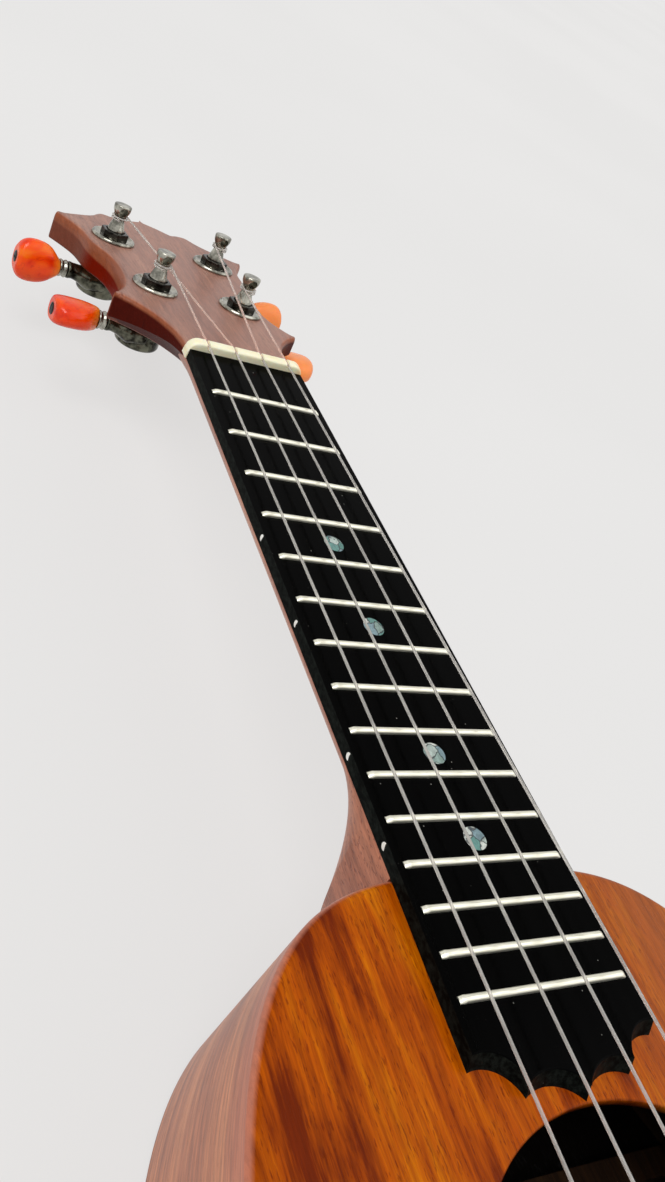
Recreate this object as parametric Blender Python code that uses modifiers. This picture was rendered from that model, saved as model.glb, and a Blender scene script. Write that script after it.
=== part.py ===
"""Soprano pineapple ukulele, built as separate pieces on the lines of a luthier's plan.

The instrument lies on its back plate. X runs from the bass side to the treble side, Y from the
tail to the headstock and Z out of the soundboard. The origin is the middle of the back plate's
outer face. The neck's pieces are placed from the front edge of the nut, and the tuners in a frame
of their own on the tilted face of the headstock.
"""
import math

import bmesh
import bpy
import numpy as np
from mathutils import Matrix, Vector

# Fits
SEAT = 0.0003            # gap left between two pieces that touch
FRET_SEAT = 0.00015      # the same under a fret's crown
STRING_SEAT = 0.00015    # the same under a string on the nut and the saddle
RUNNING = 0.0003         # clearance round a turning shaft
TOOTH_CLEAR = 0.0004     # clearance round the worm and its wheel
PAST = 0.002             # how far a cutting tool runs past a face
LAP = 0.0002             # how deep a joined piece reaches into its neighbour
EASE = 0.0005            # bevel on small edges of metal and bone

# Strings
SCALE_LENGTH = 0.345
STRING_RADIUS = 0.00035
STRING_COUNT = 4
NUT_SPACING = 0.0093
SADDLE_SPACING = 0.0142
NUT_ACTION = 0.0021      # string centre over the fretboard at the nut
SADDLE_ACTION = 0.0060   # the same at the saddle
WRAP_TURNS = 1.75
WRAP_PITCH = 0.00085
POINTS_PER_TURN = 10
TIE_TAIL = 0.0030        # loose end behind the bridge
TIE_RISE = 0.0004        # how far behind the saddle a string reaches its full height

# Body
BODY_LENGTH = 0.238
BODY_HALF_WIDTH = 0.0805
BODY_DEPTH = 0.049
SHOULDER_LENGTH = 0.128  # from the neck end to the widest place
SHOULDER_POWER = 3.6
WAIST_POWER = 2.0
TAIL_POWER = 2.2
OUTLINE_STEPS = 35
BODY_JOIN_FRET = 12
PLATE_THICK = 0.002
PLATE_EDGE = 0.0008
RIB_THICK = 0.002
LINING_WIDE = 0.004
LINING_HIGH = 0.006
HEAD_BLOCK_HALF = 0.025
HEAD_BLOCK_DEEP = 0.016
TAIL_BLOCK_HALF = 0.024
TAIL_BLOCK_DEEP = 0.012
HOLE_HALF_WIDTH = 0.035
HOLE_HALF_LENGTH = 0.0255
HOLE_FROM_JOIN = 0.0735
HOLE_STEPS = 36
BRACE_WIDE = 0.006
BRACE_HIGH = 0.008
BRACE_END_HIGH = 0.0025
TOP_BRACES_FROM_JOIN = (0.0360, 0.1115)
BACK_BRACES_FROM_JOIN = (0.0525, 0.1625)
BRIDGE_PLATE_HALF = 0.036
BRIDGE_PLATE_LONG = 0.026

# Fretboard, frets and nut
BOARD_THICK = 0.003
BOARD_HALF_AT_NUT = 0.0194
BOARD_HALF_AT_JOIN = 0.0230
BOARD_PAST_FRETS = 0.01105     # from the last fret to the board's corners
BOARD_TIP_LONG = 0.0090        # from the corners to the middle point
BOARD_MID_POINT = 0.00504      # how far the second and fourth points stand past the corners
BOARD_MID_HALF = 0.0134        # and how far out they stand
SCALLOP_BOW = 0.0018
SCALLOP_SLOPE = 0.0015
SCALLOP_STEPS = 7
FRET_COUNT = 15
FRET_WIDE = 0.0020
FRET_HIGH = 0.0010
FRET_STEPS = 6
TANG_WIDE = 0.0005
TANG_DEEP = 0.0012
TANG_SHORT = 0.0006      # how far the tang stops short of the crown's end
FRET_INSET = 0.0014
DOT_SPACES = (5, 7, 10, 12)    # a dot lies in the space before each of these frets
DOT_RADIUS = 0.0029
DOT_DEEP = 0.0008
NUT_THICK = 0.0045
NUT_PROUD = 0.0026
NUT_OVERHANG = 0.0004
NUT_CORNER = 0.0034
NUT_SLOT_DROP = 0.0002

# Neck and headstock
NECK_DEEP = 0.014
NECK_POWER = 1.4
NECK_ROUND = 0.55
HEEL_LONG = 0.0445       # from the join to where the heel starts
HEEL_CAP = 0.0125        # the part of it that has the full depth
HEEL_POWER = 3.5
HEEL_LIFT = 0.002        # heel cap over the resting plane
HEEL_FLAT = 0.12
NECK_SECTION_STEPS = 16
HEAD_TILT = math.radians(9)
HEAD_THICK = 0.010
HEAD_RISE = 0.0023       # face over the nut's seat
HEAD_LENGTH = 0.116
HEAD_EASE = 0.0020       # slope along the face's edge
HEAD_BACK_EASE = 0.0008  # the same along the back
HEAD_ROOT_LONG = 0.026   # how far the neck's round back runs on under the headstock
HEAD_ROOT_RISE = 0.0045  # how much thinner it is at the end of that run
HEAD_SHOULDER = (0.0338, 0.0307)
HEAD_CORNER = (0.0378, 0.0976)
HEAD_FLARE = ((0.0008, 0.0099), (0.0040, 0.0190), (0.0089, 0.0259))
HEAD_HOLLOW = ((0.0282, 0.0400), (0.0259, 0.0521), (0.0265, 0.0637), (0.0304, 0.0741), (0.0321, 0.0856))
HEAD_SIDE_HUMP = ((0.0295, 0.1019), (0.0229, 0.1059), (0.0180, 0.1113), (0.0133, 0.1112))
HEAD_CUSP = (0.0106, 0.1097)
HEAD_MIDDLE_HUMP = (0.0065, 0.1127)
FLARE_HIGH = (0.0030, 0.0081)  # upright part of the flare's wall at the nut and at the shoulder
FLARE_CUT = (0.0055, 0.0025)   # how far in the back of the flare is cut away at both
FLARE_POWER = 1.3
BORE_SIDES = 12

# Tuners, sizes from the headstock's face on the post's axis
POST_FAR = (0.0198, 0.0835)
POST_NEAR = (0.0160, 0.0435)
POST_TOP = 0.0125
POST_HEAD_RADIUS = 0.0031
POST_WAIST_RADIUS = 0.0019
POST_WAIST_HEIGHT = 0.0079
POST_WAIST_CURVE = 0.0011
POST_HEAD_HIGH = 0.0019
POST_RADIUS = 0.0030
POST_SIDES = 12
STRING_HOLE_RADIUS = 0.0009
STRING_HOLE_DROP = 0.0019
WASHER_RADIUS = 0.0078
WASHER_THICK = 0.0009
HEX_RADIUS = 0.0056
HEX_HIGH = 0.0025
BARREL_RADIUS = 0.0042
BARREL_LONG = 0.0085
BARREL_PLAY = 0.0003
WHEEL_TEETH = 14
WHEEL_RADIUS = 0.0031    # pitch radius of the worm wheel
TOOTH_RISE = 0.00035
TOOTH_WIDE = 0.00046
WHEEL_THICK = 0.0016
HUB_RADIUS = 0.00186
HUB_STEP = 0.0008
PIVOT_LONG = 0.0006      # foot of the post under the wheel
WORM_RADIUS = 0.0015     # pitch radius of the worm
THREAD_RISE = 0.0003
THREAD_WIDE = 0.00042
WORM_LENGTH = 0.0050
JOURNAL_LENGTH = 0.0016
WORM_STEPS = 6
TOOTH_PLAY = 0.0002      # between a tooth's tip and the worm's core
SHAFT_RADIUS = 0.0013
HOUSING_RADIUS = 0.0076
HOUSING_THICK = 0.0098
HOUSING_EDGE = 0.0022
HOUSING_SIDES = 16
ARM_LENGTH = 0.0142
ARM_RADIUS = 0.0030
ARM_ROOT = 0.0031
ARM_BEAD = 0.0018        # ring at the arm's end
COLLAR_LENGTH = 0.0026
COLLAR_RADIUS = 0.0031
COLLAR_GROOVE = 0.0004
BUTTON_LENGTH = 0.0147
BUTTON_HALF_WIDE = 0.0075
BUTTON_HALF_THICK = 0.0041
BUTTON_SIDES = 12
STEM_LENGTH = 0.0080

# Bridge and saddle
BRIDGE_HALF = 0.038
BRIDGE_MID_HALF = 0.031
BRIDGE_FRONT = 0.0085    # ahead of the saddle's middle
BRIDGE_BACK = 0.0125     # behind it
BRIDGE_HIGH = 0.0070
BRIDGE_WING_HIGH = 0.0030
BRIDGE_SLOPE = 0.0030
BRIDGE_EASE = 0.0010
BRIDGE_LAP = 0.0020      # how far a wing's root runs into the middle
TIE_HIGH = 0.0062
TIE_FRONT = 0.0060
CHANNEL_FRONT = 0.0030
CHANNEL_HIGH = 0.0032
CHANNEL_SLOPE = 0.0008
TIE_HOLE_RADIUS = 0.0009
TIE_HOLE_HIGH = 0.0046
SADDLE_THICK = 0.0028
SADDLE_HALF = 0.0285
SADDLE_DEEP = 0.0042

# Worked-out places
Y_JOIN = BODY_LENGTH / 2
Y_NUT = Y_JOIN + SCALE_LENGTH * (1 - 2 ** (-BODY_JOIN_FRET / 12))
Y_SADDLE = Y_NUT - SCALE_LENGTH
Y_WIDEST = Y_JOIN - SHOULDER_LENGTH
Y_HOLE = Y_JOIN - HOLE_FROM_JOIN
HEEL_START = Y_NUT - Y_JOIN - HEEL_LONG
Z_TOP = BODY_DEPTH
Z_BOARD = Z_TOP + SEAT + BOARD_THICK
Z_INSIDE_TOP = Z_TOP - PLATE_THICK
HEAD_ORIGIN = Vector((0, Y_NUT + NUT_THICK + SEAT, Z_TOP + HEAD_RISE))
HEAD_UP = Vector((0, math.sin(HEAD_TILT), math.cos(HEAD_TILT)))
HEAD_ALONG = Vector((0, math.cos(HEAD_TILT), -math.sin(HEAD_TILT)))
WHEEL_DROP = HEAD_THICK + SEAT + ARM_ROOT + LAP
CENTRE_DISTANCE = WHEEL_RADIUS + WORM_RADIUS
WORM_CORE = WORM_RADIUS - TOOTH_RISE - TOOTH_PLAY
THREAD_LEAD = 2 * math.pi * WHEEL_RADIUS / WHEEL_TEETH
WRAP_RADIUS = POST_WAIST_RADIUS + RUNNING + STRING_RADIUS

KOA = ((0.45, 0.15, 0.03), 0.25, 0.0)
MAHOGANY = ((0.30, 0.12, 0.06), 0.5, 0.0)
SPRUCE = ((0.70, 0.52, 0.32), 0.7, 0.0)
EBONY = ((0.012, 0.012, 0.012), 0.2, 0.0)
ROSEWOOD = ((0.07, 0.03, 0.02), 0.4, 0.0)
BONE = ((0.85, 0.80, 0.65), 0.4, 0.0)
NICKEL = ((0.75, 0.74, 0.70), 0.3, 1.0)
GUNMETAL = ((0.12, 0.12, 0.12), 0.25, 1.0)
AMBER = ((0.90, 0.15, 0.02), 0.2, 0.0)
NYLON = ((0.80, 0.80, 0.78), 0.2, 0.0)


# Collections and small helpers

def new_collection(name):
    """Make a collection in the scene."""
    collection = bpy.data.collections.new(name)
    bpy.context.scene.collection.children.link(collection)
    return collection


def clear_scene():
    """Remove whatever the file started with."""
    for old in list(bpy.data.objects):
        bpy.data.objects.remove(old, do_unlink=True)


def dress(obj, name, finish):
    """Give an object a material of its own."""
    colour, roughness, metallic = finish
    material = bpy.data.materials.new(name)
    material.use_nodes = True
    shader = material.node_tree.nodes["Principled BSDF"]
    shader.inputs["Base Color"].default_value = (*colour, 1.0)
    shader.inputs["Roughness"].default_value = roughness
    shader.inputs["Metallic"].default_value = metallic
    obj.data.materials.clear()
    obj.data.materials.append(material)


def add_object(name, mesh, finish=None, matrix=None):
    """Link a mesh as a part, or as a cutter when it has no finish."""
    obj = bpy.data.objects.new(name, mesh)
    if matrix is not None:
        obj.matrix_world = matrix
    if finish is None:
        CUTTERS.objects.link(obj)
        obj.hide_render = True
        obj.display_type = "WIRE"
    else:
        PARTS.objects.link(obj)
        dress(obj, name, finish)
    return obj


def finished(obj):
    """Return a fresh mesh with the object's modifiers worked in, and remove the object."""
    bpy.context.view_layer.update()
    graph = bpy.context.evaluated_depsgraph_get()
    mesh = bpy.data.meshes.new_from_object(obj.evaluated_get(graph))
    mesh.transform(obj.matrix_world)
    bpy.data.objects.remove(obj)
    return mesh


def mesh_from(build):
    """Run a bmesh recipe, weld what touches and point the faces outwards."""
    work = bmesh.new()
    build(work)
    bmesh.ops.remove_doubles(work, verts=work.verts, dist=1e-6)
    bmesh.ops.recalc_face_normals(work, faces=work.faces)
    mesh = bpy.data.meshes.new("mesh")
    work.to_mesh(mesh)
    work.free()
    return mesh


def weld(mesh):
    """Close the caps of a mesh that came from a curve."""
    work = bmesh.new()
    work.from_mesh(mesh)
    bmesh.ops.remove_doubles(work, verts=work.verts, dist=1e-6)
    bmesh.ops.recalc_face_normals(work, faces=work.faces)
    work.to_mesh(mesh)
    work.free()
    return mesh


def smooth(mesh, angle=35):
    """Shade a turned or bent piece smooth, with its sharp edges kept."""
    mesh.shade_smooth()
    mesh.set_sharp_from_angle(angle=math.radians(angle))
    return mesh


def extruded(loops, thickness, z_low):
    """Plate cut to flat outlines, the first outside and the others holes, its lower face at z_low."""
    curve = bpy.data.curves.new("outline", "CURVE")
    curve.dimensions = "2D"
    curve.fill_mode = "BOTH"
    curve.extrude = thickness / 2
    for loop in loops:
        spline = curve.splines.new("POLY")
        spline.points.add(len(loop) - 1)
        for point, (x, y) in zip(spline.points, loop):
            point.co = (x, y, 0, 1)
        spline.use_cyclic_u = True
    obj = bpy.data.objects.new("outline", curve)
    CUTTERS.objects.link(obj)
    obj.location.z = z_low + thickness / 2
    return weld(finished(obj))


def bar(loop_yz, half_length, matrix=None):
    """Bar along X whose end shape is given in the YZ plane."""
    mesh = extruded([loop_yz], 2 * half_length, -half_length)
    turn = Matrix(((0, 0, 1, 0), (1, 0, 0, 0), (0, 1, 0, 0), (0, 0, 0, 1)))
    mesh.transform(turn if matrix is None else matrix @ turn)
    return mesh


def box(low, high):
    """Rectangular block between two corners."""
    size = [b - a for a, b in zip(low, high)]
    middle = [(a + b) / 2 for a, b in zip(low, high)]

    def build(work):
        bmesh.ops.create_cube(work, size=1, matrix=Matrix.LocRotScale(middle, None, size))
    return mesh_from(build)


def rod(start, end, radius, sides=16):
    """Straight cylinder between two points."""
    start = Vector(start)
    end = Vector(end)
    axis = end - start
    turn = axis.to_track_quat("Z", "Y").to_matrix().to_4x4()
    matrix = Matrix.Translation((start + end) / 2) @ turn

    def build(work):
        bmesh.ops.create_cone(work, cap_ends=True, segments=sides, radius1=radius,
                              radius2=radius, depth=axis.length, matrix=matrix)
    return mesh_from(build)


def turned(profile, sides):
    """Solid of revolution about Z from (radius, height) pairs that run down the outer side."""
    mesh = bpy.data.meshes.new("profile")
    points = [(radius, 0, height) for radius, height in profile]
    edges = [(i, i + 1) for i in range(len(points) - 1)]
    mesh.from_pydata(points, edges, [])
    obj = bpy.data.objects.new("profile", mesh)
    CUTTERS.objects.link(obj)
    screw = obj.modifiers.new("turn", "SCREW")
    screw.steps = sides
    screw.render_steps = sides
    screw.use_merge_vertices = True
    screw.merge_threshold = 0.00001
    return smooth(weld(finished(obj)))


def tube(points, radius, resolution=2):
    """Round tube along points, with closed ends."""
    curve = bpy.data.curves.new("tube", "CURVE")
    curve.dimensions = "3D"
    curve.bevel_depth = radius
    curve.bevel_resolution = resolution
    curve.use_fill_caps = True
    spline = curve.splines.new("POLY")
    spline.points.add(len(points) - 1)
    for point, place in zip(spline.points, points):
        point.co = (*place, 1)
    obj = bpy.data.objects.new("tube", curve)
    CUTTERS.objects.link(obj)
    return smooth(weld(finished(obj)), 60)


def lofted(sections):
    """Closed skin over rings of points that all have the same count, with flat ends."""
    def build(work):
        rings = [[work.verts.new(point) for point in ring] for ring in sections]
        count = len(rings[0])
        for near, far in zip(rings, rings[1:]):
            for i in range(count):
                j = (i + 1) % count
                work.faces.new((near[i], near[j], far[j], far[i]))
        work.faces.new(rings[0])
        work.faces.new(rings[-1])
    return mesh_from(build)


def boolean(obj, mesh, operation="DIFFERENCE"):
    """Cut a mesh from an object, or join it on."""
    cutter = add_object(obj.name + "_tool", mesh)
    modifier = obj.modifiers.new("cut", "BOOLEAN")
    modifier.operation = operation
    modifier.solver = "EXACT"
    modifier.object = cutter


def merged(meshes):
    """One mesh that holds several separate cutters."""
    work = bmesh.new()
    for mesh in meshes:
        work.from_mesh(mesh)
    result = bpy.data.meshes.new("tools")
    work.to_mesh(result)
    work.free()
    return result


def round_edges(obj, width, segments=2):
    """Ease the sharp edges of an object."""
    bevel = obj.modifiers.new("eased", "BEVEL")
    bevel.width = width
    bevel.segments = segments
    bevel.limit_method = "ANGLE"
    bevel.angle_limit = math.radians(40)


# Outlines

def resampled(points, count):
    """Even steps along a path."""
    lengths = np.hypot(*np.diff(points, axis=0).T)
    travelled = np.concatenate([[0], np.cumsum(lengths)])
    at = np.linspace(0, travelled[-1], count)
    return np.stack([np.interp(at, travelled, points[:, i]) for i in (0, 1)], axis=1)


def half_outline(inset=0.0, count=OUTLINE_STEPS):
    """Treble half of the body's outline, neck end to tail, moved inwards by inset.

    Above the widest place x and y follow a superellipse with unlike powers, which gives the square
    shoulders, and below it one with equal powers, which gives the full round tail.
    """
    turn = np.linspace(0, math.pi / 2, 400)
    upper_x = BODY_HALF_WIDTH * np.sin(turn) ** (2 / SHOULDER_POWER)
    upper_y = Y_WIDEST + SHOULDER_LENGTH * np.cos(turn) ** (2 / WAIST_POWER)
    tail = BODY_LENGTH - SHOULDER_LENGTH
    lower_x = BODY_HALF_WIDTH * np.cos(turn) ** (2 / TAIL_POWER)
    lower_y = Y_WIDEST - tail * np.sin(turn) ** (2 / TAIL_POWER)
    dense = np.stack([np.append(upper_x, lower_x[1:]), np.append(upper_y, lower_y[1:])], axis=1)
    path = resampled(dense, 4 * count)
    along = np.gradient(path, axis=0)
    along /= np.hypot(*along.T)[:, None]
    inward = np.stack([along[:, 1], -along[:, 0]], axis=1)
    path = resampled(path + inset * inward, count)
    path[0, 0] = 0
    path[-1, 0] = 0
    return path


def whole_outline(inset=0.0):
    """Closed outline of the body."""
    half = half_outline(inset)
    return np.concatenate([half, half[-2:0:-1] * (-1, 1)])


def neck_end_y(x, inset=0.0):
    """Where the outline crosses x on its neck end."""
    half = half_outline(inset)
    rising = half[: OUTLINE_STEPS // 3]
    return float(np.interp(abs(x), rising[:, 0], rising[:, 1]))


def tail_end_y(x, inset=0.0):
    """Where the outline crosses x on its tail end."""
    half = half_outline(inset)[::-1]
    rising = half[: OUTLINE_STEPS // 3]
    return float(np.interp(abs(x), rising[:, 0], rising[:, 1]))


def half_width_at(y, inset=0.0):
    """Half width of the outline at y."""
    half = half_outline(inset)[::-1]
    return float(np.interp(y, half[:, 1], half[:, 0]))


def arc_through(start, end, bow, steps):
    """Points of a round arc from start to end that bows to its left by bow, without the end."""
    start = np.array(start)
    end = np.array(end)
    chord = end - start
    left = np.array([-chord[1], chord[0]]) / np.hypot(*chord)
    share = np.linspace(0, 1, steps, endpoint=False)
    radius = (np.hypot(*chord) ** 2 / 4 + bow ** 2) / (2 * abs(bow))
    reach = (share - 0.5) * np.hypot(*chord)
    rise = np.sqrt(radius ** 2 - reach ** 2) - (radius - abs(bow))
    return start + share[:, None] * chord + np.sign(bow) * rise[:, None] * left


def board_half(from_nut):
    """Half width of the fretboard at a distance from the nut."""
    share = from_nut / (Y_NUT - Y_JOIN)
    return BOARD_HALF_AT_NUT + (BOARD_HALF_AT_JOIN - BOARD_HALF_AT_NUT) * share


def fret_from_nut(number):
    """Distance of a fret from the nut, by the twelfth root of two."""
    return SCALE_LENGTH * (1 - 2 ** (-number / 12))


def string_x(index, from_nut):
    """Sideways place of a string, which fans out from nut to saddle."""
    lane = index - (STRING_COUNT - 1) / 2
    spacing = NUT_SPACING + (SADDLE_SPACING - NUT_SPACING) * from_nut / SCALE_LENGTH
    return lane * spacing


def on_head(x, along, up=0.0):
    """Point on the headstock from its sideways, lengthwise and upward places."""
    return HEAD_ORIGIN + Vector((x, 0, 0)) + along * HEAD_ALONG + up * HEAD_UP


# Body

def make_plates():
    """Soundboard with its oval hole, and the back."""
    turn = np.linspace(0, 2 * math.pi, HOLE_STEPS, endpoint=False)
    hole = np.stack([HOLE_HALF_WIDTH * np.cos(turn), Y_HOLE + HOLE_HALF_LENGTH * np.sin(turn)], axis=1)
    top = extruded([whole_outline(), hole], PLATE_THICK, Z_INSIDE_TOP)
    board = add_object("soundboard", top, KOA)
    round_edges(board, PLATE_EDGE, 1)
    back = add_object("back", extruded([whole_outline()], PLATE_THICK, 0), KOA)
    round_edges(back, PLATE_EDGE, 1)


def strip(outer_inset, thickness, from_x_head, from_x_tail, side):
    """Flat loop of a strip that follows the outline on one side, between two blocks."""
    outer = half_outline(outer_inset)
    inner = half_outline(outer_inset + thickness)
    middle = len(outer) // 2

    def trimmed(path):
        head = path[:middle]
        tail = path[middle:]
        head_y = np.interp(from_x_head, head[:, 0], head[:, 1])
        tail_y = np.interp(from_x_tail, tail[::-1, 0], tail[::-1, 1])
        kept = [p for p in head if p[0] > from_x_head + SEAT]
        kept += [p for p in tail if p[0] > from_x_tail + SEAT]
        return np.array([(from_x_head, head_y), *kept, (from_x_tail, tail_y)])
    loop = np.concatenate([trimmed(outer), trimmed(inner)[::-1]])
    return loop * (side, 1)


def make_ribs_and_linings():
    """Bent sides, and the linings that widen their glue edges."""
    low = PLATE_THICK + SEAT
    high = Z_INSIDE_TOP - SEAT
    inside = RIB_THICK + SEAT
    for name, side in (("bass", -1), ("treble", 1)):
        rib = extruded([strip(0, RIB_THICK, SEAT / 2, SEAT / 2, side)], high - low, low)
        add_object("rib_" + name, rib, KOA)
        loop = strip(inside, LINING_WIDE, HEAD_BLOCK_HALF + SEAT, TAIL_BLOCK_HALF + SEAT, side)
        back = extruded([loop], LINING_HIGH, low)
        add_object("back_lining_" + name, back, SPRUCE)
        top = extruded([loop], LINING_HIGH, high - LINING_HIGH)
        add_object("soundboard_lining_" + name, top, SPRUCE)


def make_blocks():
    """Head and tail blocks, curved where they meet the ribs."""
    low = PLATE_THICK + SEAT
    height = Z_INSIDE_TOP - SEAT - low
    inside = RIB_THICK + SEAT
    across = np.linspace(-HEAD_BLOCK_HALF, HEAD_BLOCK_HALF, 9)
    face = [(x, neck_end_y(x, inside)) for x in across]
    depth = Y_JOIN - inside - HEAD_BLOCK_DEEP
    loop = face + [(HEAD_BLOCK_HALF, depth), (-HEAD_BLOCK_HALF, depth)]
    add_object("head_block", extruded([loop], height, low), SPRUCE)
    across = np.linspace(-TAIL_BLOCK_HALF, TAIL_BLOCK_HALF, 9)
    face = [(x, tail_end_y(x, inside)) for x in across]
    depth = inside + TAIL_BLOCK_DEEP - BODY_LENGTH / 2
    loop = face + [(TAIL_BLOCK_HALF, depth), (-TAIL_BLOCK_HALF, depth)]
    add_object("tail_block", extruded([loop], height, low), SPRUCE)


def brace_half_length(y):
    """Reach of a brace that ends just inside the linings at y."""
    inside = RIB_THICK + 2 * SEAT + LINING_WIDE
    ends = (y - BRACE_WIDE / 2, y + BRACE_WIDE / 2)
    return min(half_width_at(end, inside) for end in ends) - SEAT


def brace_mesh(y, z_glue, direction):
    """Brace glued at z_glue whose free edge rises in an arch, downwards for direction -1."""
    half = brace_half_length(y)
    across = np.linspace(-half, half, 11)
    rise = BRACE_END_HIGH + (BRACE_HIGH - BRACE_END_HIGH) * np.cos(across / half * math.pi / 2)
    free = [(x, z_glue + direction * h) for x, h in zip(across, rise)]
    loop = [(-half, z_glue), *free, (half, z_glue)]
    mesh = extruded([loop], BRACE_WIDE, -BRACE_WIDE / 2)
    mesh.transform(Matrix.Translation((0, y, 0)) @ Matrix.Rotation(math.pi / 2, 4, "X"))
    return mesh


def make_braces():
    """Braces under the soundboard and on the back, and the plate under the bridge."""
    for name, from_join in zip(("upper", "lower"), TOP_BRACES_FROM_JOIN):
        mesh = brace_mesh(Y_JOIN - from_join, Z_INSIDE_TOP - SEAT, -1)
        add_object(name + "_soundboard_brace", mesh, SPRUCE)
    for name, from_join in zip(("upper", "lower"), BACK_BRACES_FROM_JOIN):
        mesh = brace_mesh(Y_JOIN - from_join, PLATE_THICK + SEAT, 1)
        add_object(name + "_back_brace", mesh, SPRUCE)
    z_high = Z_INSIDE_TOP - SEAT
    low = (-BRIDGE_PLATE_HALF, Y_SADDLE - BRIDGE_PLATE_LONG / 2, z_high - PLATE_THICK)
    high = (BRIDGE_PLATE_HALF, Y_SADDLE + BRIDGE_PLATE_LONG / 2, z_high)
    add_object("bridge_plate", box(low, high), SPRUCE)


# Bridge

def make_bridge():
    """Tie bridge with thin wings, a slot for the saddle and a hole for each string."""
    z = Z_TOP + SEAT
    profile = [(BRIDGE_FRONT, 0), (BRIDGE_FRONT, BRIDGE_WING_HIGH),
               (BRIDGE_FRONT - BRIDGE_SLOPE, BRIDGE_HIGH), (-CHANNEL_FRONT, BRIDGE_HIGH),
               (-CHANNEL_FRONT - CHANNEL_SLOPE, CHANNEL_HIGH), (-TIE_FRONT, CHANNEL_HIGH),
               (-TIE_FRONT, TIE_HIGH), (BRIDGE_EASE - BRIDGE_BACK, TIE_HIGH),
               (-BRIDGE_BACK, TIE_HIGH - BRIDGE_EASE), (-BRIDGE_BACK, 0)]
    middle = bar(profile, BRIDGE_MID_HALF, Matrix.Translation((0, Y_SADDLE, z)))
    bridge = add_object("bridge", middle, ROSEWOOD)
    y_low = Y_SADDLE - BRIDGE_BACK
    y_high = Y_SADDLE + BRIDGE_FRONT
    y_mid = (y_low + y_high) / 2
    depth = (y_high - y_low) / 2
    tip = BRIDGE_HALF - BRIDGE_MID_HALF
    turn = np.linspace(-math.pi / 2, math.pi / 2, 9)
    inner = BRIDGE_MID_HALF - BRIDGE_LAP
    for side in (-1, 1):
        ends = [(side * (BRIDGE_MID_HALF + tip * math.cos(t)), y_mid + depth * math.sin(t)) for t in turn]
        loop = [(side * inner, y_low), *ends, (side * inner, y_high)]
        boolean(bridge, extruded([loop], BRIDGE_WING_HIGH - SEAT, z), "UNION")
    slot_low = (-SADDLE_HALF - SEAT, Y_SADDLE - SADDLE_THICK / 2 - SEAT, z + BRIDGE_HIGH - SADDLE_DEEP)
    slot_high = (SADDLE_HALF + SEAT, Y_SADDLE + SADDLE_THICK / 2 + SEAT, z + 2 * BRIDGE_HIGH)
    tools = [box(slot_low, slot_high)]
    for index in range(STRING_COUNT):
        x = string_x(index, SCALE_LENGTH)
        start = (x, Y_SADDLE - BRIDGE_BACK - PAST, z + TIE_HOLE_HIGH)
        end = (x, Y_SADDLE - TIE_FRONT + PAST / 2, z + TIE_HOLE_HIGH)
        tools.append(rod(start, end, TIE_HOLE_RADIUS, 8))
    boolean(bridge, merged(tools))


def make_saddle():
    """Bone saddle with a rounded crown under the strings."""
    top = Z_BOARD + SADDLE_ACTION - STRING_RADIUS - STRING_SEAT
    bottom = Z_TOP + SEAT + BRIDGE_HIGH - SADDLE_DEEP + SEAT
    radius = SADDLE_THICK / 2
    turn = np.linspace(0, math.pi, 8)
    crown = [(radius * math.cos(t), top - radius / 2 + radius / 2 * math.sin(t)) for t in turn]
    loop = [(-radius, bottom), (radius, bottom), *crown]
    add_object("saddle", bar(loop, SADDLE_HALF, Matrix.Translation((0, Y_SADDLE, 0))), BONE)


# Neck

def neck_depth(from_nut):
    """Depth of the neck under the fretboard, which swells into the heel."""
    full = Z_TOP - HEEL_LIFT
    share = np.clip((from_nut - HEEL_START) / (HEEL_LONG - HEEL_CAP), 0, 1)
    return NECK_DEEP + (full - NECK_DEEP) * share ** HEEL_POWER


def neck_section(y, depth, half, z_top):
    """Ring across the neck: flat on top, a soft V below that widens to a flat cap at the heel."""
    swell = (depth - NECK_DEEP) / (Z_TOP - HEEL_LIFT - NECK_DEEP)
    turn = np.linspace(-math.pi / 2, math.pi / 2, NECK_SECTION_STEPS + 1)
    xs = half * np.sin(turn)
    reach = (1 - np.abs(np.sin(turn)) ** NECK_POWER) ** NECK_ROUND
    drop = np.minimum(depth, depth * (1 + HEEL_FLAT * max(swell, 0)) * reach)
    return [(x, y, z_top - d) for x, d in zip(xs, drop)]


def make_neck():
    """Neck, heel and headstock in one piece, with a bore for each tuner."""
    heel_steps = np.linspace(HEEL_START, HEEL_START + HEEL_LONG - HEEL_CAP, 8)
    past_join = Y_NUT - Y_JOIN + 2 * RIB_THICK
    stations = [0.0, HEEL_START / 2, *heel_steps, past_join]
    sections = []
    for share in (1.0, 0.6, 0.25):
        behind = HEAD_ROOT_LONG * share
        y = HEAD_ORIGIN.y + behind
        z = Z_TOP - behind * math.tan(HEAD_TILT)
        depth = NECK_DEEP - HEAD_ROOT_RISE * share ** 2
        sections.append(neck_section(y, depth, BOARD_HALF_AT_NUT, z))
    for from_nut in stations:
        half = board_half(from_nut)
        sections.append(neck_section(Y_NUT - from_nut, neck_depth(from_nut), half, Z_TOP))
    neck = add_object("neck", lofted(sections), MAHOGANY)
    boolean(neck, extruded([whole_outline(-SEAT)], 2 * BODY_DEPTH, -BODY_DEPTH / 2))
    plate = headstock_plate()
    plate.transform(head_matrix())
    boolean(neck, plate, "UNION")
    wedges = merged([flare_wedge(side) for side in (-1, 1)])
    wedges.transform(head_matrix())
    boolean(neck, wedges)
    bores = []
    for side in (-1, 1):
        for x, along in (POST_FAR, POST_NEAR):
            start = on_head(side * x, along, PAST)
            end = on_head(side * x, along, -HEAD_THICK - 2 * PAST)
            bores.append(rod(start, end, BARREL_RADIUS + BARREL_PLAY, BORE_SIDES))
    boolean(neck, merged(bores))


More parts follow.
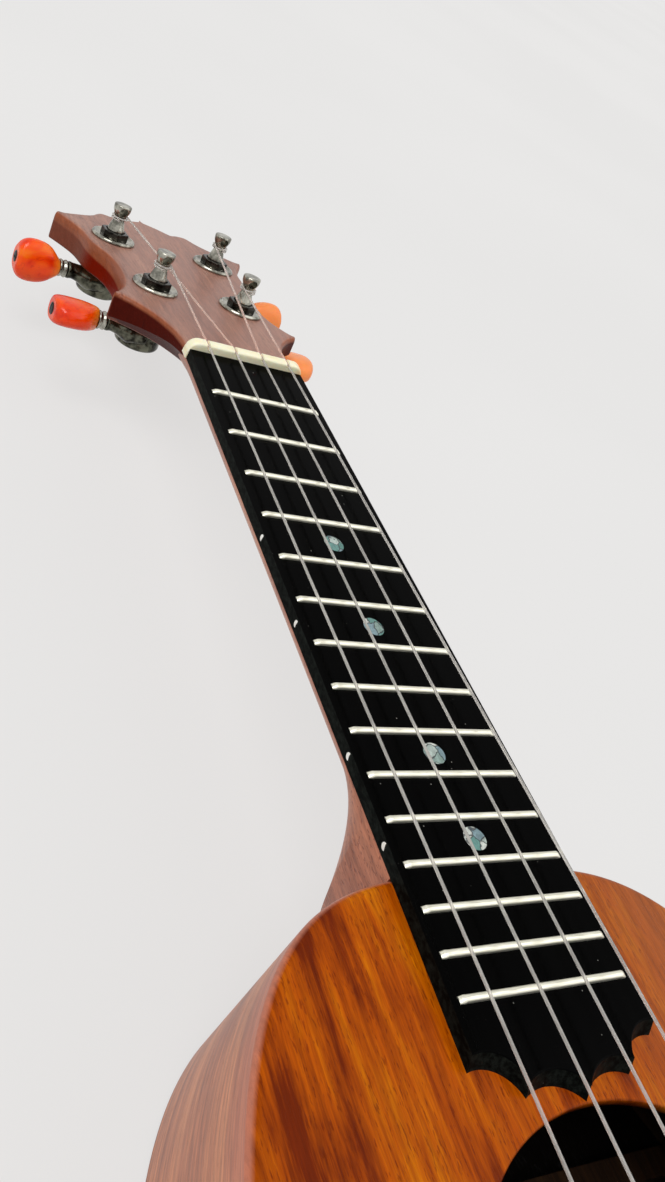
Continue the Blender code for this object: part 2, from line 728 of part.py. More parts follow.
def head_matrix():
    """Frame of the headstock's face: x sideways, y along it, z out of it."""
    columns = (Vector((1, 0, 0)), HEAD_ALONG, HEAD_UP)
    turn = Matrix([[column[row] for column in columns] for row in range(3)]).to_4x4()
    return Matrix.Translation(HEAD_ORIGIN) @ turn


def softened(points, steps=2):
    """Smooth path through points, a Catmull-Rom curve that ends on the first and last."""
    points = np.array(points, dtype=float)
    padded = np.concatenate([[2 * points[0] - points[1]], points, [2 * points[-1] - points[-2]]])
    path = []
    for a, b, c, d in zip(padded, padded[1:], padded[2:], padded[3:]):
        for t in np.arange(steps) / steps:
            path.append(0.5 * (2 * b + (c - a) * t + (2 * a - 5 * b + 4 * c - d) * t ** 2
                               + (3 * b - a - 3 * c + d) * t ** 3))
    return path + [points[-1]]


def flare_path():
    """Treble side of the headstock from the nut to the shoulder."""
    flare = [(BOARD_HALF_AT_NUT + out, along) for out, along in ((0, 0), *HEAD_FLARE)]
    return softened((*flare, HEAD_SHOULDER))


def headstock_loop():
    """Outline of the headstock: flared shoulders, hollow sides and a crown of three humps."""
    runs = ((HEAD_SHOULDER, *HEAD_HOLLOW, HEAD_CORNER),
            (HEAD_CORNER, *HEAD_SIDE_HUMP, HEAD_CUSP), (HEAD_CUSP, HEAD_MIDDLE_HUMP, (0, HEAD_LENGTH)))
    half = flare_path()
    for run in runs:
        half = half[:-1] + softened(run)
    return [tuple(point) for point in half] + [(-x, y) for x, y in half[-2::-1]]


def headstock_plate():
    """Plate of the headstock, whose edges slope towards its face and its back."""
    loop = np.array(headstock_loop())
    edge = np.roll(loop, -1, axis=0) - loop
    edge /= np.hypot(*edge.T)[:, None]
    inward = np.stack([-edge[:, 1], edge[:, 0]], axis=1)
    mean = inward + np.roll(inward, 1, axis=0)
    mean /= np.hypot(*mean.T)[:, None]
    sections = []
    for inset, height in ((HEAD_BACK_EASE, -HEAD_THICK), (0, HEAD_BACK_EASE - HEAD_THICK),
                          (0, -HEAD_EASE), (HEAD_EASE, 0)):
        ring = loop + inset * mean
        ring[[0, -1], 1] = 0
        sections.append([(x, y, height) for x, y in ring])
    return lofted(sections)


def flare_wedge(side):
    """Cutter that thins the flare's edge from below, so that it runs into the neck's round back."""
    path = np.array(flare_path())
    along = np.gradient(path, axis=0)
    along /= np.hypot(*along.T)[:, None]
    path = np.concatenate([path[:1] - PAST * along[:1], path, path[-1:] + 2 * PAST * along[-1:]])
    along = np.concatenate([along[:1], along, along[-1:]])
    share = np.clip(path[:, 1] / HEAD_SHOULDER[1], 0, 1)
    sections = []
    for (x, y), (right, ahead), part in zip(path, along, share):
        high = FLARE_HIGH[0] + (FLARE_HIGH[1] - FLARE_HIGH[0]) * part ** FLARE_POWER
        cut = FLARE_CUT[0] + (FLARE_CUT[1] - FLARE_CUT[0]) * part
        outer = (side * (x + ahead * EASE), y - right * EASE)
        inner = (side * (x - ahead * cut), y + right * cut)
        floor = -HEAD_THICK - PAST
        sections.append([(*outer, -high), (*outer, floor), (*inner, floor)])
    return lofted(sections)


# Fretboard

def board_loop():
    """Outline of the fretboard with four scallops cut in its end, at its lower face."""
    corner = fret_from_nut(FRET_COUNT) + BOARD_PAST_FRETS
    mid = corner + BOARD_MID_POINT
    outer = board_half(corner)
    tips = [(-outer, -corner), (-BOARD_MID_HALF, -mid), (0, -corner - BOARD_TIP_LONG),
            (BOARD_MID_HALF, -mid), (outer, -corner)]
    loop = [(BOARD_HALF_AT_NUT, -SEAT), (-BOARD_HALF_AT_NUT, -SEAT)]
    for start, end in zip(tips, tips[1:]):
        loop.extend(arc_through(start, end, SCALLOP_BOW, SCALLOP_STEPS))
    loop.append(tips[-1])
    return [(x, Y_NUT + y) for x, y in loop]


def make_fretboard():
    """Fretboard whose scalloped end slopes back, with blind slots and shallow dot pockets."""
    z_low = Z_TOP + SEAT
    mesh = extruded([board_loop()], BOARD_THICK, z_low)
    end_zone = Y_NUT - fret_from_nut(FRET_COUNT) - BOARD_PAST_FRETS + SEAT
    for vertex in mesh.vertices:
        if vertex.co.z > z_low + BOARD_THICK / 2 and vertex.co.y < end_zone + SCALLOP_BOW:
            vertex.co.y += SCALLOP_SLOPE
    board = add_object("fretboard", mesh, EBONY)
    tools = []
    for number in range(1, FRET_COUNT + 1):
        from_nut = fret_from_nut(number)
        half = board_half(from_nut) - FRET_INSET - TANG_SHORT + SEAT
        y = Y_NUT - from_nut
        wide = TANG_WIDE / 2 + SEAT
        deep = FRET_SEAT + TANG_DEEP + SEAT
        tools.append(box((-half, y - wide, Z_BOARD - deep), (half, y + wide, Z_BOARD + BOARD_THICK)))
    for fret in DOT_SPACES:
        y = Y_NUT - (fret_from_nut(fret) + fret_from_nut(fret - 1)) / 2
        tools.append(rod((0, y, Z_BOARD - DOT_DEEP), (0, y, Z_BOARD + BOARD_THICK), DOT_RADIUS, 12))
    boolean(board, merged(tools))


def make_frets():
    """Frets with a round crown and a tang that sits in its slot."""
    turn = np.linspace(0, math.pi, FRET_STEPS + 1)
    crown = [(FRET_WIDE / 2 * math.cos(t), FRET_HIGH * math.sin(t)) for t in turn]
    root = [(FRET_WIDE / 2 * math.cos(t), 0) for t in (0, math.pi)]
    tang = [(-TANG_WIDE / 2, SEAT), (-TANG_WIDE / 2, -TANG_DEEP), (TANG_WIDE / 2, -TANG_DEEP),
            (TANG_WIDE / 2, SEAT)]
    for number in range(1, FRET_COUNT + 1):
        from_nut = fret_from_nut(number)
        half = board_half(from_nut) - FRET_INSET
        place = Matrix.Translation((0, Y_NUT - from_nut, Z_BOARD + FRET_SEAT))
        fret = add_object(f"fret_{number:02d}", bar(crown[:-1] + root[1:], half, place), NICKEL)
        boolean(fret, bar(tang, half - TANG_SHORT, place), "UNION")


def make_nut():
    """Bone nut with rounded ends and a slot for each string."""
    half = BOARD_HALF_AT_NUT + NUT_OVERHANG
    low = Z_TOP + SEAT
    high = Z_BOARD + NUT_PROUD
    turn = np.linspace(0, math.pi / 2, 6)
    right = [(half - NUT_CORNER * (1 - math.cos(t)), high - NUT_CORNER * (1 - math.sin(t))) for t in turn]
    left = [(-x, z) for x, z in right[::-1]]
    loop = [(half, low), *right, *left, (-half, low)]
    mesh = extruded([loop], NUT_THICK, -NUT_THICK / 2)
    y_mid = Y_NUT + NUT_THICK / 2
    mesh.transform(Matrix.Translation((0, y_mid, 0)) @ Matrix.Rotation(math.pi / 2, 4, "X"))
    nut = add_object("nut", mesh, BONE)
    round_edges(nut, EASE, 1)
    gap = STRING_RADIUS + STRING_SEAT
    floor = Z_BOARD + NUT_ACTION - gap - 2 * NUT_SLOT_DROP
    slots = []
    for index in range(STRING_COUNT):
        x = string_x(index, 0)
        near = (x - gap, Y_NUT - SEAT, floor)
        far = (x + gap, Y_NUT + NUT_THICK + SEAT, high + NUT_PROUD)
        slots.append(box(near, far))
    boolean(nut, merged(slots))


# Tuners, in a frame with z up the post and x outwards along the shaft

def post_mesh():
    """String post with its waist, cross hole and the worm wheel on its foot."""
    wheel_top = -WHEEL_DROP + WHEEL_THICK / 2
    head = POST_HEAD_RADIUS
    waist = POST_WAIST_RADIUS
    shoulder = WASHER_THICK + HEX_HIGH + SEAT
    foot = wheel_top - WHEEL_THICK - PIVOT_LONG
    profile = [(0, POST_TOP), (head - EASE, POST_TOP), (head, POST_TOP - EASE),
               (head * 0.97, POST_TOP - POST_HEAD_HIGH), (waist * 1.2, POST_WAIST_HEIGHT + POST_WAIST_CURVE),
               (waist, POST_WAIST_HEIGHT), (waist * 1.05, POST_WAIST_HEIGHT - POST_WAIST_CURVE),
               (POST_RADIUS * 0.88, shoulder + POST_WAIST_CURVE), (POST_RADIUS, shoulder),
               (POST_RADIUS, wheel_top + HUB_STEP), (HUB_RADIUS, wheel_top - LAP),
               (HUB_RADIUS, foot), (0, foot)]
    return turned(profile, POST_SIDES)


def wheel_mesh():
    """Worm wheel with straight teeth, one of them on the worm's centre line."""
    step = 2 * math.pi / WHEEL_TEETH
    root = WHEEL_RADIUS - TOOTH_RISE
    tip = WHEEL_RADIUS + TOOTH_RISE
    loop = []
    for tooth in range(WHEEL_TEETH):
        middle = math.pi / 2 + tooth * step
        base = TOOTH_WIDE * 0.75 / root
        point = TOOTH_WIDE * 0.32 / tip
        for radius, angle in ((root, middle - base), (tip, middle - point), (tip, middle + point),
                              (root, middle + base)):
            loop.append((radius * math.cos(angle), radius * math.sin(angle)))
    return extruded([loop], WHEEL_THICK, -WHEEL_DROP - WHEEL_THICK / 2)


def worm_mesh():
    """Worm: a right-hand thread round the shaft, made as one ribbon with its root inside the shaft."""
    turns = WORM_LENGTH / THREAD_LEAD
    count = int(turns * WORM_STEPS) + 1
    angles = np.linspace(-turns * math.pi, turns * math.pi, count) + math.pi
    tip = WORM_RADIUS + THREAD_RISE
    root = WORM_CORE * 0.8
    taper = np.minimum(1, (turns * math.pi - np.abs(angles - math.pi)) / (math.pi / 3))
    sections = []
    for angle, rise in zip(angles, taper):
        middle = THREAD_LEAD * angle / (2 * math.pi)
        crest = root + (tip - root) * max(rise, 0.1)
        ring = []
        for radius, offset in ((root, -0.8), (crest, 0), (root, 0.8)):
            ring.append((middle + offset * THREAD_WIDE, radius * math.cos(angle), radius * math.sin(angle)))
        sections.append(ring)
    return lofted(sections)


def shaft_mesh():
    """Shaft with its journals, the ringed collar outside the housing and the button's stem."""
    end = WORM_LENGTH / 2 + JOURNAL_LENGTH
    neck = WORM_LENGTH / 2 + JOURNAL_LENGTH / 2
    collar = ARM_LENGTH + SEAT
    button = collar + COLLAR_LENGTH + SEAT
    ring = COLLAR_RADIUS
    groove = ring - COLLAR_GROOVE
    half = COLLAR_LENGTH / 2
    profile = [(0, button + STEM_LENGTH), (SHAFT_RADIUS, button + STEM_LENGTH),
               (SHAFT_RADIUS, button - SEAT), (ring, button - SEAT), (groove, collar + half),
               (ring, collar), (SHAFT_RADIUS, collar),
               (SHAFT_RADIUS, neck + THREAD_LEAD / 2),
               (WORM_CORE, neck + THREAD_LEAD / 2), (WORM_CORE, -neck), (SHAFT_RADIUS, -neck),
               (SHAFT_RADIUS, -end), (0, -end)]
    mesh = turned(profile, 12)
    mesh.transform(Matrix.Rotation(math.pi / 2, 4, "Y"))
    return mesh


def housing_solid():
    """Closed outside of the housing: a round box with an arm out to the button's collar."""
    top = -HEAD_THICK - SEAT
    radius = HOUSING_RADIUS
    profile = [(0, top), (radius - EASE, top), (radius, top - EASE),
               (radius, top - HOUSING_THICK + HOUSING_EDGE), (radius - HOUSING_EDGE, top - HOUSING_THICK),
               (0, top - HOUSING_THICK)]
    return turned(profile, HOUSING_SIDES)


def arm_mesh():
    """Tapered arm round the shaft."""
    profile = [(0, ARM_LENGTH), (ARM_RADIUS - EASE, ARM_LENGTH), (ARM_RADIUS, ARM_LENGTH - ARM_BEAD / 2),
               (ARM_RADIUS - EASE, ARM_LENGTH - ARM_BEAD), (ARM_ROOT, HOUSING_RADIUS * 0.55),
               (ARM_ROOT, 0), (0, 0)]
    mesh = turned(profile, 12)
    mesh.transform(Matrix.Rotation(math.pi / 2, 4, "Y"))
    mesh.transform(Matrix.Translation((0, CENTRE_DISTANCE, -WHEEL_DROP)))
    return mesh


def housing_tools():
    """Inside of the housing: room for the wheel, the worm, the post and the shaft."""
    floor = -WHEEL_DROP - WHEEL_THICK / 2 - PIVOT_LONG - 2 * RUNNING
    roof = -WHEEL_DROP + WHEEL_THICK / 2 + TOOTH_CLEAR
    wheel = WHEEL_RADIUS + TOOTH_RISE + TOOTH_CLEAR
    worm = WORM_RADIUS + THREAD_RISE + TOOTH_CLEAR
    end = WORM_LENGTH / 2 + JOURNAL_LENGTH + RUNNING
    room = rod((0, 0, floor), (0, 0, roof), wheel, 14)
    throat = rod((0, 0, roof - LAP), (0, 0, PAST - HEAD_THICK), POST_RADIUS + RUNNING, 12)
    lane = rod((-end, CENTRE_DISTANCE, -WHEEL_DROP), (end, CENTRE_DISTANCE, -WHEEL_DROP), worm, 12)
    bore = rod((0, CENTRE_DISTANCE, -WHEEL_DROP), (ARM_LENGTH + PAST, CENTRE_DISTANCE, -WHEEL_DROP),
               SHAFT_RADIUS + RUNNING, 12)
    return [room, throat, lane, bore]


def bushing_mesh():
    """Washer and threaded barrel of the bushing; its hexagon is joined on afterwards."""
    washer = SEAT + WASHER_THICK
    profile = [(POST_RADIUS + RUNNING, washer), (WASHER_RADIUS - EASE, washer),
               (WASHER_RADIUS, washer - EASE), (WASHER_RADIUS, SEAT), (BARREL_RADIUS, SEAT),
               (BARREL_RADIUS, -BARREL_LONG),
               (POST_RADIUS + RUNNING, -BARREL_LONG), (POST_RADIUS + RUNNING, washer)]
    return turned(profile, 16)


def button_mesh(turned_up):
    """Oval button: rings of a rounded oval that grow from the collar and close over the tip."""
    start = ARM_LENGTH + 2 * SEAT + COLLAR_LENGTH
    stations = ((0, 0.38, 0.70), (0.06, 0.50, 0.80), (0.20, 0.74, 0.92), (0.40, 0.94, 0.99),
                (0.60, 1, 1), (0.78, 0.96, 0.99), (0.90, 0.82, 0.96), (0.97, 0.66, 0.88),
                (1, 0.50, 0.72))
    turn = np.linspace(0, 2 * math.pi, BUTTON_SIDES, endpoint=False)
    sections = []
    for share, wide, thick in stations:
        across = BUTTON_HALF_WIDE * wide * np.sign(np.cos(turn)) * np.abs(np.cos(turn)) ** 0.85
        through = BUTTON_HALF_THICK * thick * np.sign(np.sin(turn)) * np.abs(np.sin(turn)) ** 0.85
        if turned_up:
            across, through = -through, across
        x = start + BUTTON_LENGTH * share
        sections.append([(x, a, b) for a, b in zip(across, through)])
    return smooth(lofted(sections), 50)


def mirrored(mesh):
    """Left-hand copy of a tuner piece, mirrored along the headstock."""
    copy = mesh.copy()
    work = bmesh.new()
    work.from_mesh(copy)
    bmesh.ops.scale(work, vec=(1, -1, 1), verts=work.verts)
    bmesh.ops.reverse_faces(work, faces=work.faces)
    work.to_mesh(copy)
    work.free()
    return copy


def tuner_templates():
    """Meshes of one tuner's pieces, each in the tuner's own frame or on its own axis."""
    post = add_object("post", post_mesh())
    boolean(post, wheel_mesh(), "UNION")
    hole = STRING_HOLE_DROP
    reach = POST_HEAD_RADIUS + PAST
    boolean(post, rod((0, -reach, POST_TOP - hole), (0, reach, POST_TOP - hole), STRING_HOLE_RADIUS, 8))
    shaft = add_object("shaft", shaft_mesh())
    boolean(shaft, worm_mesh(), "UNION")
    housing = add_object("housing", housing_solid())
    boolean(housing, arm_mesh(), "UNION")
    for tool in housing_tools():
        boolean(housing, tool)
    bushing = add_object("bushing", bushing_mesh())
    hexagon = rod((0, 0, SEAT + WASHER_THICK / 2), (0, 0, SEAT + WASHER_THICK + HEX_HIGH), HEX_RADIUS, 6)
    boolean(bushing, hexagon, "UNION")
    top = SEAT + WASHER_THICK + HEX_HIGH
    boolean(bushing, rod((0, 0, -BARREL_LONG - PAST), (0, 0, top + PAST), POST_RADIUS + RUNNING, 16))
    return {"post": finished(post), "shaft": finished(shaft), "housing": finished(housing),
            "bushing": finished(bushing)}


def make_tuners():
    """Four tuners, mirrored from side to side, each piece an object on its own axis."""
    templates = tuner_templates()
    buttons = {up: button_mesh(up) for up in (False, True)}
    finishes = {"post": GUNMETAL, "shaft": GUNMETAL, "housing": GUNMETAL, "bushing": GUNMETAL}
    seats = ((-1, POST_NEAR, False), (-1, POST_FAR, True), (1, POST_FAR, True), (1, POST_NEAR, False))
    for number, (side, (x, along), up) in enumerate(seats, start=1):
        turn = Matrix.Rotation(math.pi if side < 0 else 0, 4, "Z")
        frame = head_matrix() @ Matrix.Translation((side * x, along, 0)) @ turn
        shaft_frame = frame @ Matrix.Translation((0, -side * CENTRE_DISTANCE, -WHEEL_DROP))
        for name, mesh in {**templates, "button": buttons[up]}.items():
            part = mesh.copy() if side < 0 else mirrored(mesh)
            place = shaft_frame if name in ("shaft", "button") else frame
            obj = add_object(f"tuner_{number}_{name}", smooth(part), finishes.get(name, AMBER), place)
            if name == "button":
                reach = ARM_LENGTH + COLLAR_LENGTH + STEM_LENGTH + 3 * SEAT
                bore = rod((0, 0, 0), (reach, 0, 0), SHAFT_RADIUS + SEAT, 12)
                bore.transform(place)
                boolean(obj, bore)


# Strings

def string_points(index):
    """Route of a string: tie block, saddle, nut, then turns round its post.

    The turns are a helix about the post, and it starts where a straight run from the nut touches
    the winding circle on the side that faces the middle of the headstock.
    """
    x_saddle = string_x(index, SCALE_LENGTH)
    z_tie = Z_TOP + SEAT + TIE_HOLE_HIGH
    z_saddle = Z_BOARD + SADDLE_ACTION
    z_nut = Z_BOARD + NUT_ACTION
    x_nut = string_x(index, 0)
    points = [(x_saddle, Y_SADDLE - BRIDGE_BACK - TIE_TAIL, z_tie),
              (x_saddle, Y_SADDLE - TIE_FRONT + STRING_RADIUS, z_tie),
              (x_saddle, Y_SADDLE - SADDLE_THICK / 2 - TIE_RISE, z_saddle - SEAT),
              (x_saddle, Y_SADDLE, z_saddle),
              (x_nut, Y_NUT, z_nut), (x_nut, Y_NUT + NUT_THICK, z_nut - NUT_SLOT_DROP)]
    side = -1 if index < STRING_COUNT / 2 else 1
    x, along = POST_NEAR if index in (0, STRING_COUNT - 1) else POST_FAR
    inner = -side
    leave = points[-1][0]
    lean = math.atan2(leave - side * x - inner * WRAP_RADIUS, along)
    count = int(WRAP_TURNS * POINTS_PER_TURN)
    low = POST_WAIST_HEIGHT + WRAP_PITCH * WRAP_TURNS / 2
    for step in range(count + 1):
        turn = 2 * math.pi * step / POINTS_PER_TURN
        angle = (0 if inner > 0 else math.pi) + inner * turn - lean
        up = low - WRAP_PITCH * step / POINTS_PER_TURN
        across = side * x + WRAP_RADIUS * math.cos(angle)
        forward = along + WRAP_RADIUS * math.sin(angle)
        points.append(tuple(on_head(across, forward, up)))
    return points


def make_strings():
    """Four strings, each whole from the tie block to its post."""
    for index in range(STRING_COUNT):
        mesh = tube(string_points(index), STRING_RADIUS, 1)
        add_object(f"string_{index + 1}", mesh, NYLON)


clear_scene()
PARTS = new_collection("pineapple_ukulele")
CUTTERS = new_collection("cutters")
make_plates()
make_ribs_and_linings()
make_blocks()
make_braces()
make_bridge()
make_saddle()
make_neck()
make_fretboard()
make_frets()
make_nut()
make_tuners()
make_strings()
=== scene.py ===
# %% [markdown]
# # A pineapple ukulele, dressed for a picture
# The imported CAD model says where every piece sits. This lesson builds the surfaces that the eye
# sees on top of it, one family of pieces at a time, each with a procedural finish. Everything is
# in metres: X runs from the bass side to the treble side, Y from the tail to the headstock and Z
# out of the soundboard.

# %% Load the frame
import math

import bmesh
import bpy
import numpy as np
from mathutils import Matrix, Vector

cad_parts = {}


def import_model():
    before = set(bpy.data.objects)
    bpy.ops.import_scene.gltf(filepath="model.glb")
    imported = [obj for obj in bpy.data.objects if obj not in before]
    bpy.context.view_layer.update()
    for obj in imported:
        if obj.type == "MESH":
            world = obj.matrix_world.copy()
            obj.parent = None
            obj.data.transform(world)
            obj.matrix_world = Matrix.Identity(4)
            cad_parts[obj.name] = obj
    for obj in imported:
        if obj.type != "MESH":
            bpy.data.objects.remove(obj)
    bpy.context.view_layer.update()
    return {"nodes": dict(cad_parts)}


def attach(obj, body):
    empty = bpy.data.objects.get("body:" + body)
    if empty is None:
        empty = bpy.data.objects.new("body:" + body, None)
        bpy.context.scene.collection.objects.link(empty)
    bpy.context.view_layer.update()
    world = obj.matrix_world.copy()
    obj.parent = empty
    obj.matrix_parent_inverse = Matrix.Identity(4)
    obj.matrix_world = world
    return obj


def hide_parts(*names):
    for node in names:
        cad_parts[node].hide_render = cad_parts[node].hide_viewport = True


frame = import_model()
print("CAD nodes:", len(frame["nodes"]))

# %% [markdown]
# ## Sizes
# A luthier lays an instrument out from its scale length, so frets, join and saddle are placed from
# the nut. The tuners have a frame of their own on the tilted face of the headstock.

# %% Sizes of the instrument
SCALE_LENGTH = 0.345
FRETS = 15
Y_JOIN = 0.119
Y_NUT = 0.2915
Y_SADDLE = Y_NUT - SCALE_LENGTH
Y_WIDEST = -0.009
Y_HOLE = 0.0455
Z_TOP = 0.049
Z_BOARD = 0.0523
BODY_HALF = 0.0805
SHOULDER = 0.128
SHOULDER_POWER = 2 / 3.6
TAIL = 0.110
TAIL_POWER = 2 / 2.2
PLATE = 0.002
HOLE_HALF_WIDTH = 0.035
HOLE_HALF_LENGTH = 0.0255
BOARD_HALF_AT_NUT = 0.0194
BOARD_HALF_AT_JOIN = 0.0230
BOARD_PAST_NUT = 0.0010
NUT_THICK = 0.0045
NUT_OVERHANG = 0.0004
NUT_ACTION = 0.0021
NUT_SPACING = 0.0093
SADDLE_SPACING = 0.0142
NECK_DEPTH = 0.0148
HEEL_SWELL = 0.0322
HEEL_START, HEEL_LONG = 0.1442, 0.0159
TILT = math.radians(9)
HEAD_THICK = 0.010
HEAD_ORIGIN = np.array((0, 0.2963, 0.0513))
HEAD_ALONG = np.array((0, math.cos(TILT), -math.sin(TILT)))
HEAD_UP = np.array((0, math.sin(TILT), math.cos(TILT)))
POSTS = {1: (-0.0160, 0.0435), 2: (-0.0198, 0.0835), 3: (0.0198, 0.0835), 4: (0.0160, 0.0435)}
DOT_SPACES = (5, 7, 10, 12)


def fret_y(number):
    """Place of a fret along Y, by the twelfth root of two."""
    return Y_NUT - SCALE_LENGTH * (1 - 2 ** (-number / 12))


def board_half(y):
    """Half width of the fretboard at y, which grows evenly from the nut to the join."""
    share = (Y_NUT - y) / (Y_NUT - Y_JOIN)
    return BOARD_HALF_AT_NUT + (BOARD_HALF_AT_JOIN - BOARD_HALF_AT_NUT) * share


print("first fret at", round(fret_y(1), 4), "and twelfth at", round(fret_y(12), 4))

# %% [markdown]
# ## Surfaces from formulas
# Each shape is a sheet of points, rows by columns, that a numpy formula lays out. The helpers turn
# sheets into faces, join them into one piece and hang it on its body, so that it turns with its
# tuner.

# %% Mesh helpers


def sheet(points, ring=False):
    """Quads between neighbours of a (rows, columns, 3) sheet whose columns close on themselves.

    With ring the last row joins the first, and otherwise one flat face closes each end row.
    """
    rows, columns = points.shape[:2]
    number = np.arange(rows * columns).reshape(rows, columns)
    down = np.vstack([number, number[:1]]) if ring else number
    across = np.hstack([down, down[:, :1]])
    quads = np.stack([across[:-1, :-1], across[:-1, 1:], across[1:, 1:], across[1:, :-1]], axis=-1)
    faces = quads.reshape(-1, 4).tolist()
    if not ring:
        faces += [number[0][::-1].tolist(), number[-1].tolist()]
    return points.reshape(-1, 3), faces


def placed(shape, matrix):
    """The same shape moved by a 4x4 matrix."""
    points, faces = shape
    return points @ matrix[:3, :3].T + matrix[:3, 3], faces


def mesh_of(name, shapes):
    """One mesh from several shapes, with every face pointing outwards."""
    vertices, faces, base = [], [], 0
    for points, polygons in shapes:
        vertices.append(points)
        faces += [[base + i for i in polygon] for polygon in polygons]
        base += len(points)
    mesh = bpy.data.meshes.new(name)
    mesh.from_pydata(np.concatenate(vertices).tolist(), [], faces)
    work = bmesh.new()
    work.from_mesh(mesh)
    bmesh.ops.recalc_face_normals(work, faces=work.faces)
    work.to_mesh(mesh)
    work.free()
    return mesh


def in_scene(name, data):
    """New object of a mesh, a lamp or a camera, linked to the scene."""
    made = bpy.data.objects.new(name, data)
    bpy.context.scene.collection.objects.link(made)
    return made


def object_of(mesh, angle=35, even=True):
    """Object with smooth shading, its edges above an angle kept sharp and its flat faces even."""
    mesh.shade_smooth()
    mesh.set_sharp_from_angle(angle=math.radians(angle))
    made = in_scene(mesh.name, mesh)
    if even:
        made.modifiers.new("even", "WEIGHTED_NORMAL").keep_sharp = True
    return made


def note(made, **notes):
    """Numbers or vectors per vertex that a material reads by their name."""
    for name, values in notes.items():
        values = np.asarray(values, float)
        kind, field = ("FLOAT", "value") if values.ndim == 1 else ("FLOAT_VECTOR", "vector")
        made.data.attributes.new(name, kind, "POINT").data.foreach_set(field, values.ravel())


def piece(name, shapes, material, body="instrument", nodes=(), angle=35, even=True, **notes):
    """Finished piece that rides on a body, stands for some CAD nodes and carries notes."""
    made = object_of(mesh_of(name, shapes), angle, even)
    made.data.materials.append(material)
    note(made, **notes)
    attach(made, body)
    if nodes:
        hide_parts(*nodes)
    return made


def spots_of(made):
    """Vertices of a piece as rows of x, y and z."""
    flat = np.empty(3 * len(made.data.vertices))
    made.data.vertices.foreach_get("co", flat)
    return flat.reshape(-1, 3)


print("mesh helpers ready")

# %% [markdown]
# ## Cuts, turned shapes and tubes
# Posts, washers and screws are solids of revolution, as off a lathe, and strings are tubes along a
# path. Holes are cut with an exact Boolean, because a drill leaves exactly that edge.

# %% Shape helpers


def cut(name, shapes, *groups):
    """Shapes with each group of tools taken away by an exact Boolean, as one shape."""
    for tools in groups:
        body, tool = [object_of(mesh_of(name, group), even=False) for group in (shapes, tools)]
        modifier = body.modifiers.new("cut", "BOOLEAN")
        modifier.solver, modifier.object = "EXACT", tool
        bpy.context.view_layer.update()
        evaluated = body.evaluated_get(bpy.context.evaluated_depsgraph_get())
        result = bpy.data.meshes.new_from_object(evaluated)
        shapes = [(np.array([vertex.co for vertex in result.vertices]),
                   [list(polygon.vertices) for polygon in result.polygons])]
        for made in (body, tool):
            bpy.data.objects.remove(made)
    return shapes[0]


def put(x=0, y=0, z=0, angle=0, axis="Z"):
    """Matrix that turns a shape about an axis and then moves it to a place."""
    return np.array(Matrix.Translation((x, y, z)) @ Matrix.Rotation(angle, 4, axis))


def around(sides):
    """Angles at even steps once round."""
    return np.linspace(0, 2 * np.pi, sides, endpoint=False)


def circle(radius, turn):
    """Points in a plane at a radius, which may change with the angle."""
    return np.stack([radius * np.cos(turn), radius * np.sin(turn)], axis=-1)


def turned(profile, sides=64):
    """Solid of revolution: each (radius, height) pair becomes a ring about Z."""
    radius, height = np.array(profile, float).T[:, :, None]
    flat = circle(radius, around(sides))
    return sheet(np.dstack([flat, np.repeat(height, sides, axis=1)]))


def bend(start, corner, end, steps):
    """Quadratic curve from start to end that a corner pulls at: (1-t)^2, 2t(1-t) and t^2."""
    return [(1 - t) ** 2 * start + 2 * t * (1 - t) * corner + t ** 2 * end
            for t in np.linspace(0, 1, steps + 1)]


def rounded(profile, radius, steps=4):
    """Profile with its inner corners replaced by curves, each cut off by radius."""
    profile = np.array(profile, float)
    path = [profile[0]]
    for before, corner, after in zip(profile, profile[1:], profile[2:]):
        start, end = [corner + way * min(0.5, radius / max(np.linalg.norm(way), 1e-9))
                      for way in (before - corner, after - corner)]
        path += bend(start, corner, end, steps)
    return np.array(path + [profile[-1]])


def ways_along(path):
    """Unit direction of travel at each point of a path."""
    way = np.gradient(path, axis=0)
    return way / np.linalg.norm(way, axis=1)[:, None]


def tube(path, radius, sides=12):
    """Round tube: rings across the path, each turned as little as it can be from the last."""
    path = np.array(path, float)
    along = ways_along(path)
    across = np.cross(along[0], (0, 0, 1) if abs(along[0][2]) < 0.9 else (1, 0, 0))
    turn = around(sides)
    rows = []
    for point, way in zip(path, along):
        across = across - way * (across @ way)
        across /= np.linalg.norm(across)
        up = np.cross(way, across)
        rows.append(point + radius * (np.cos(turn)[:, None] * across + np.sin(turn)[:, None] * up))
    return sheet(np.array(rows))


def softened(points, steps=10):
    """Smooth path through points, a Catmull-Rom curve that ends on the first and last."""
    points = np.array(points, float)
    padded = np.concatenate([[2 * points[0] - points[1]], points, [2 * points[-1] - points[-2]]])
    path = [0.5 * (2 * b + (c - a) * t + (2 * a - 5 * b + 4 * c - d) * t ** 2
                   + (3 * b - a - 3 * c + d) * t ** 3)
            for a, b, c, d in zip(padded, padded[1:], padded[2:], padded[3:])
            for t in np.arange(steps) / steps]
    return np.array(path + [points[-1]])


print("shape helpers ready")

# %% [markdown]
# ## Plates with eased edges
# A sanded edge is a quarter circle all the way round an outline. Near a sharp corner there is no
# room for it, so each point moves inwards only until another edge would be nearer.

# %% Eased plates


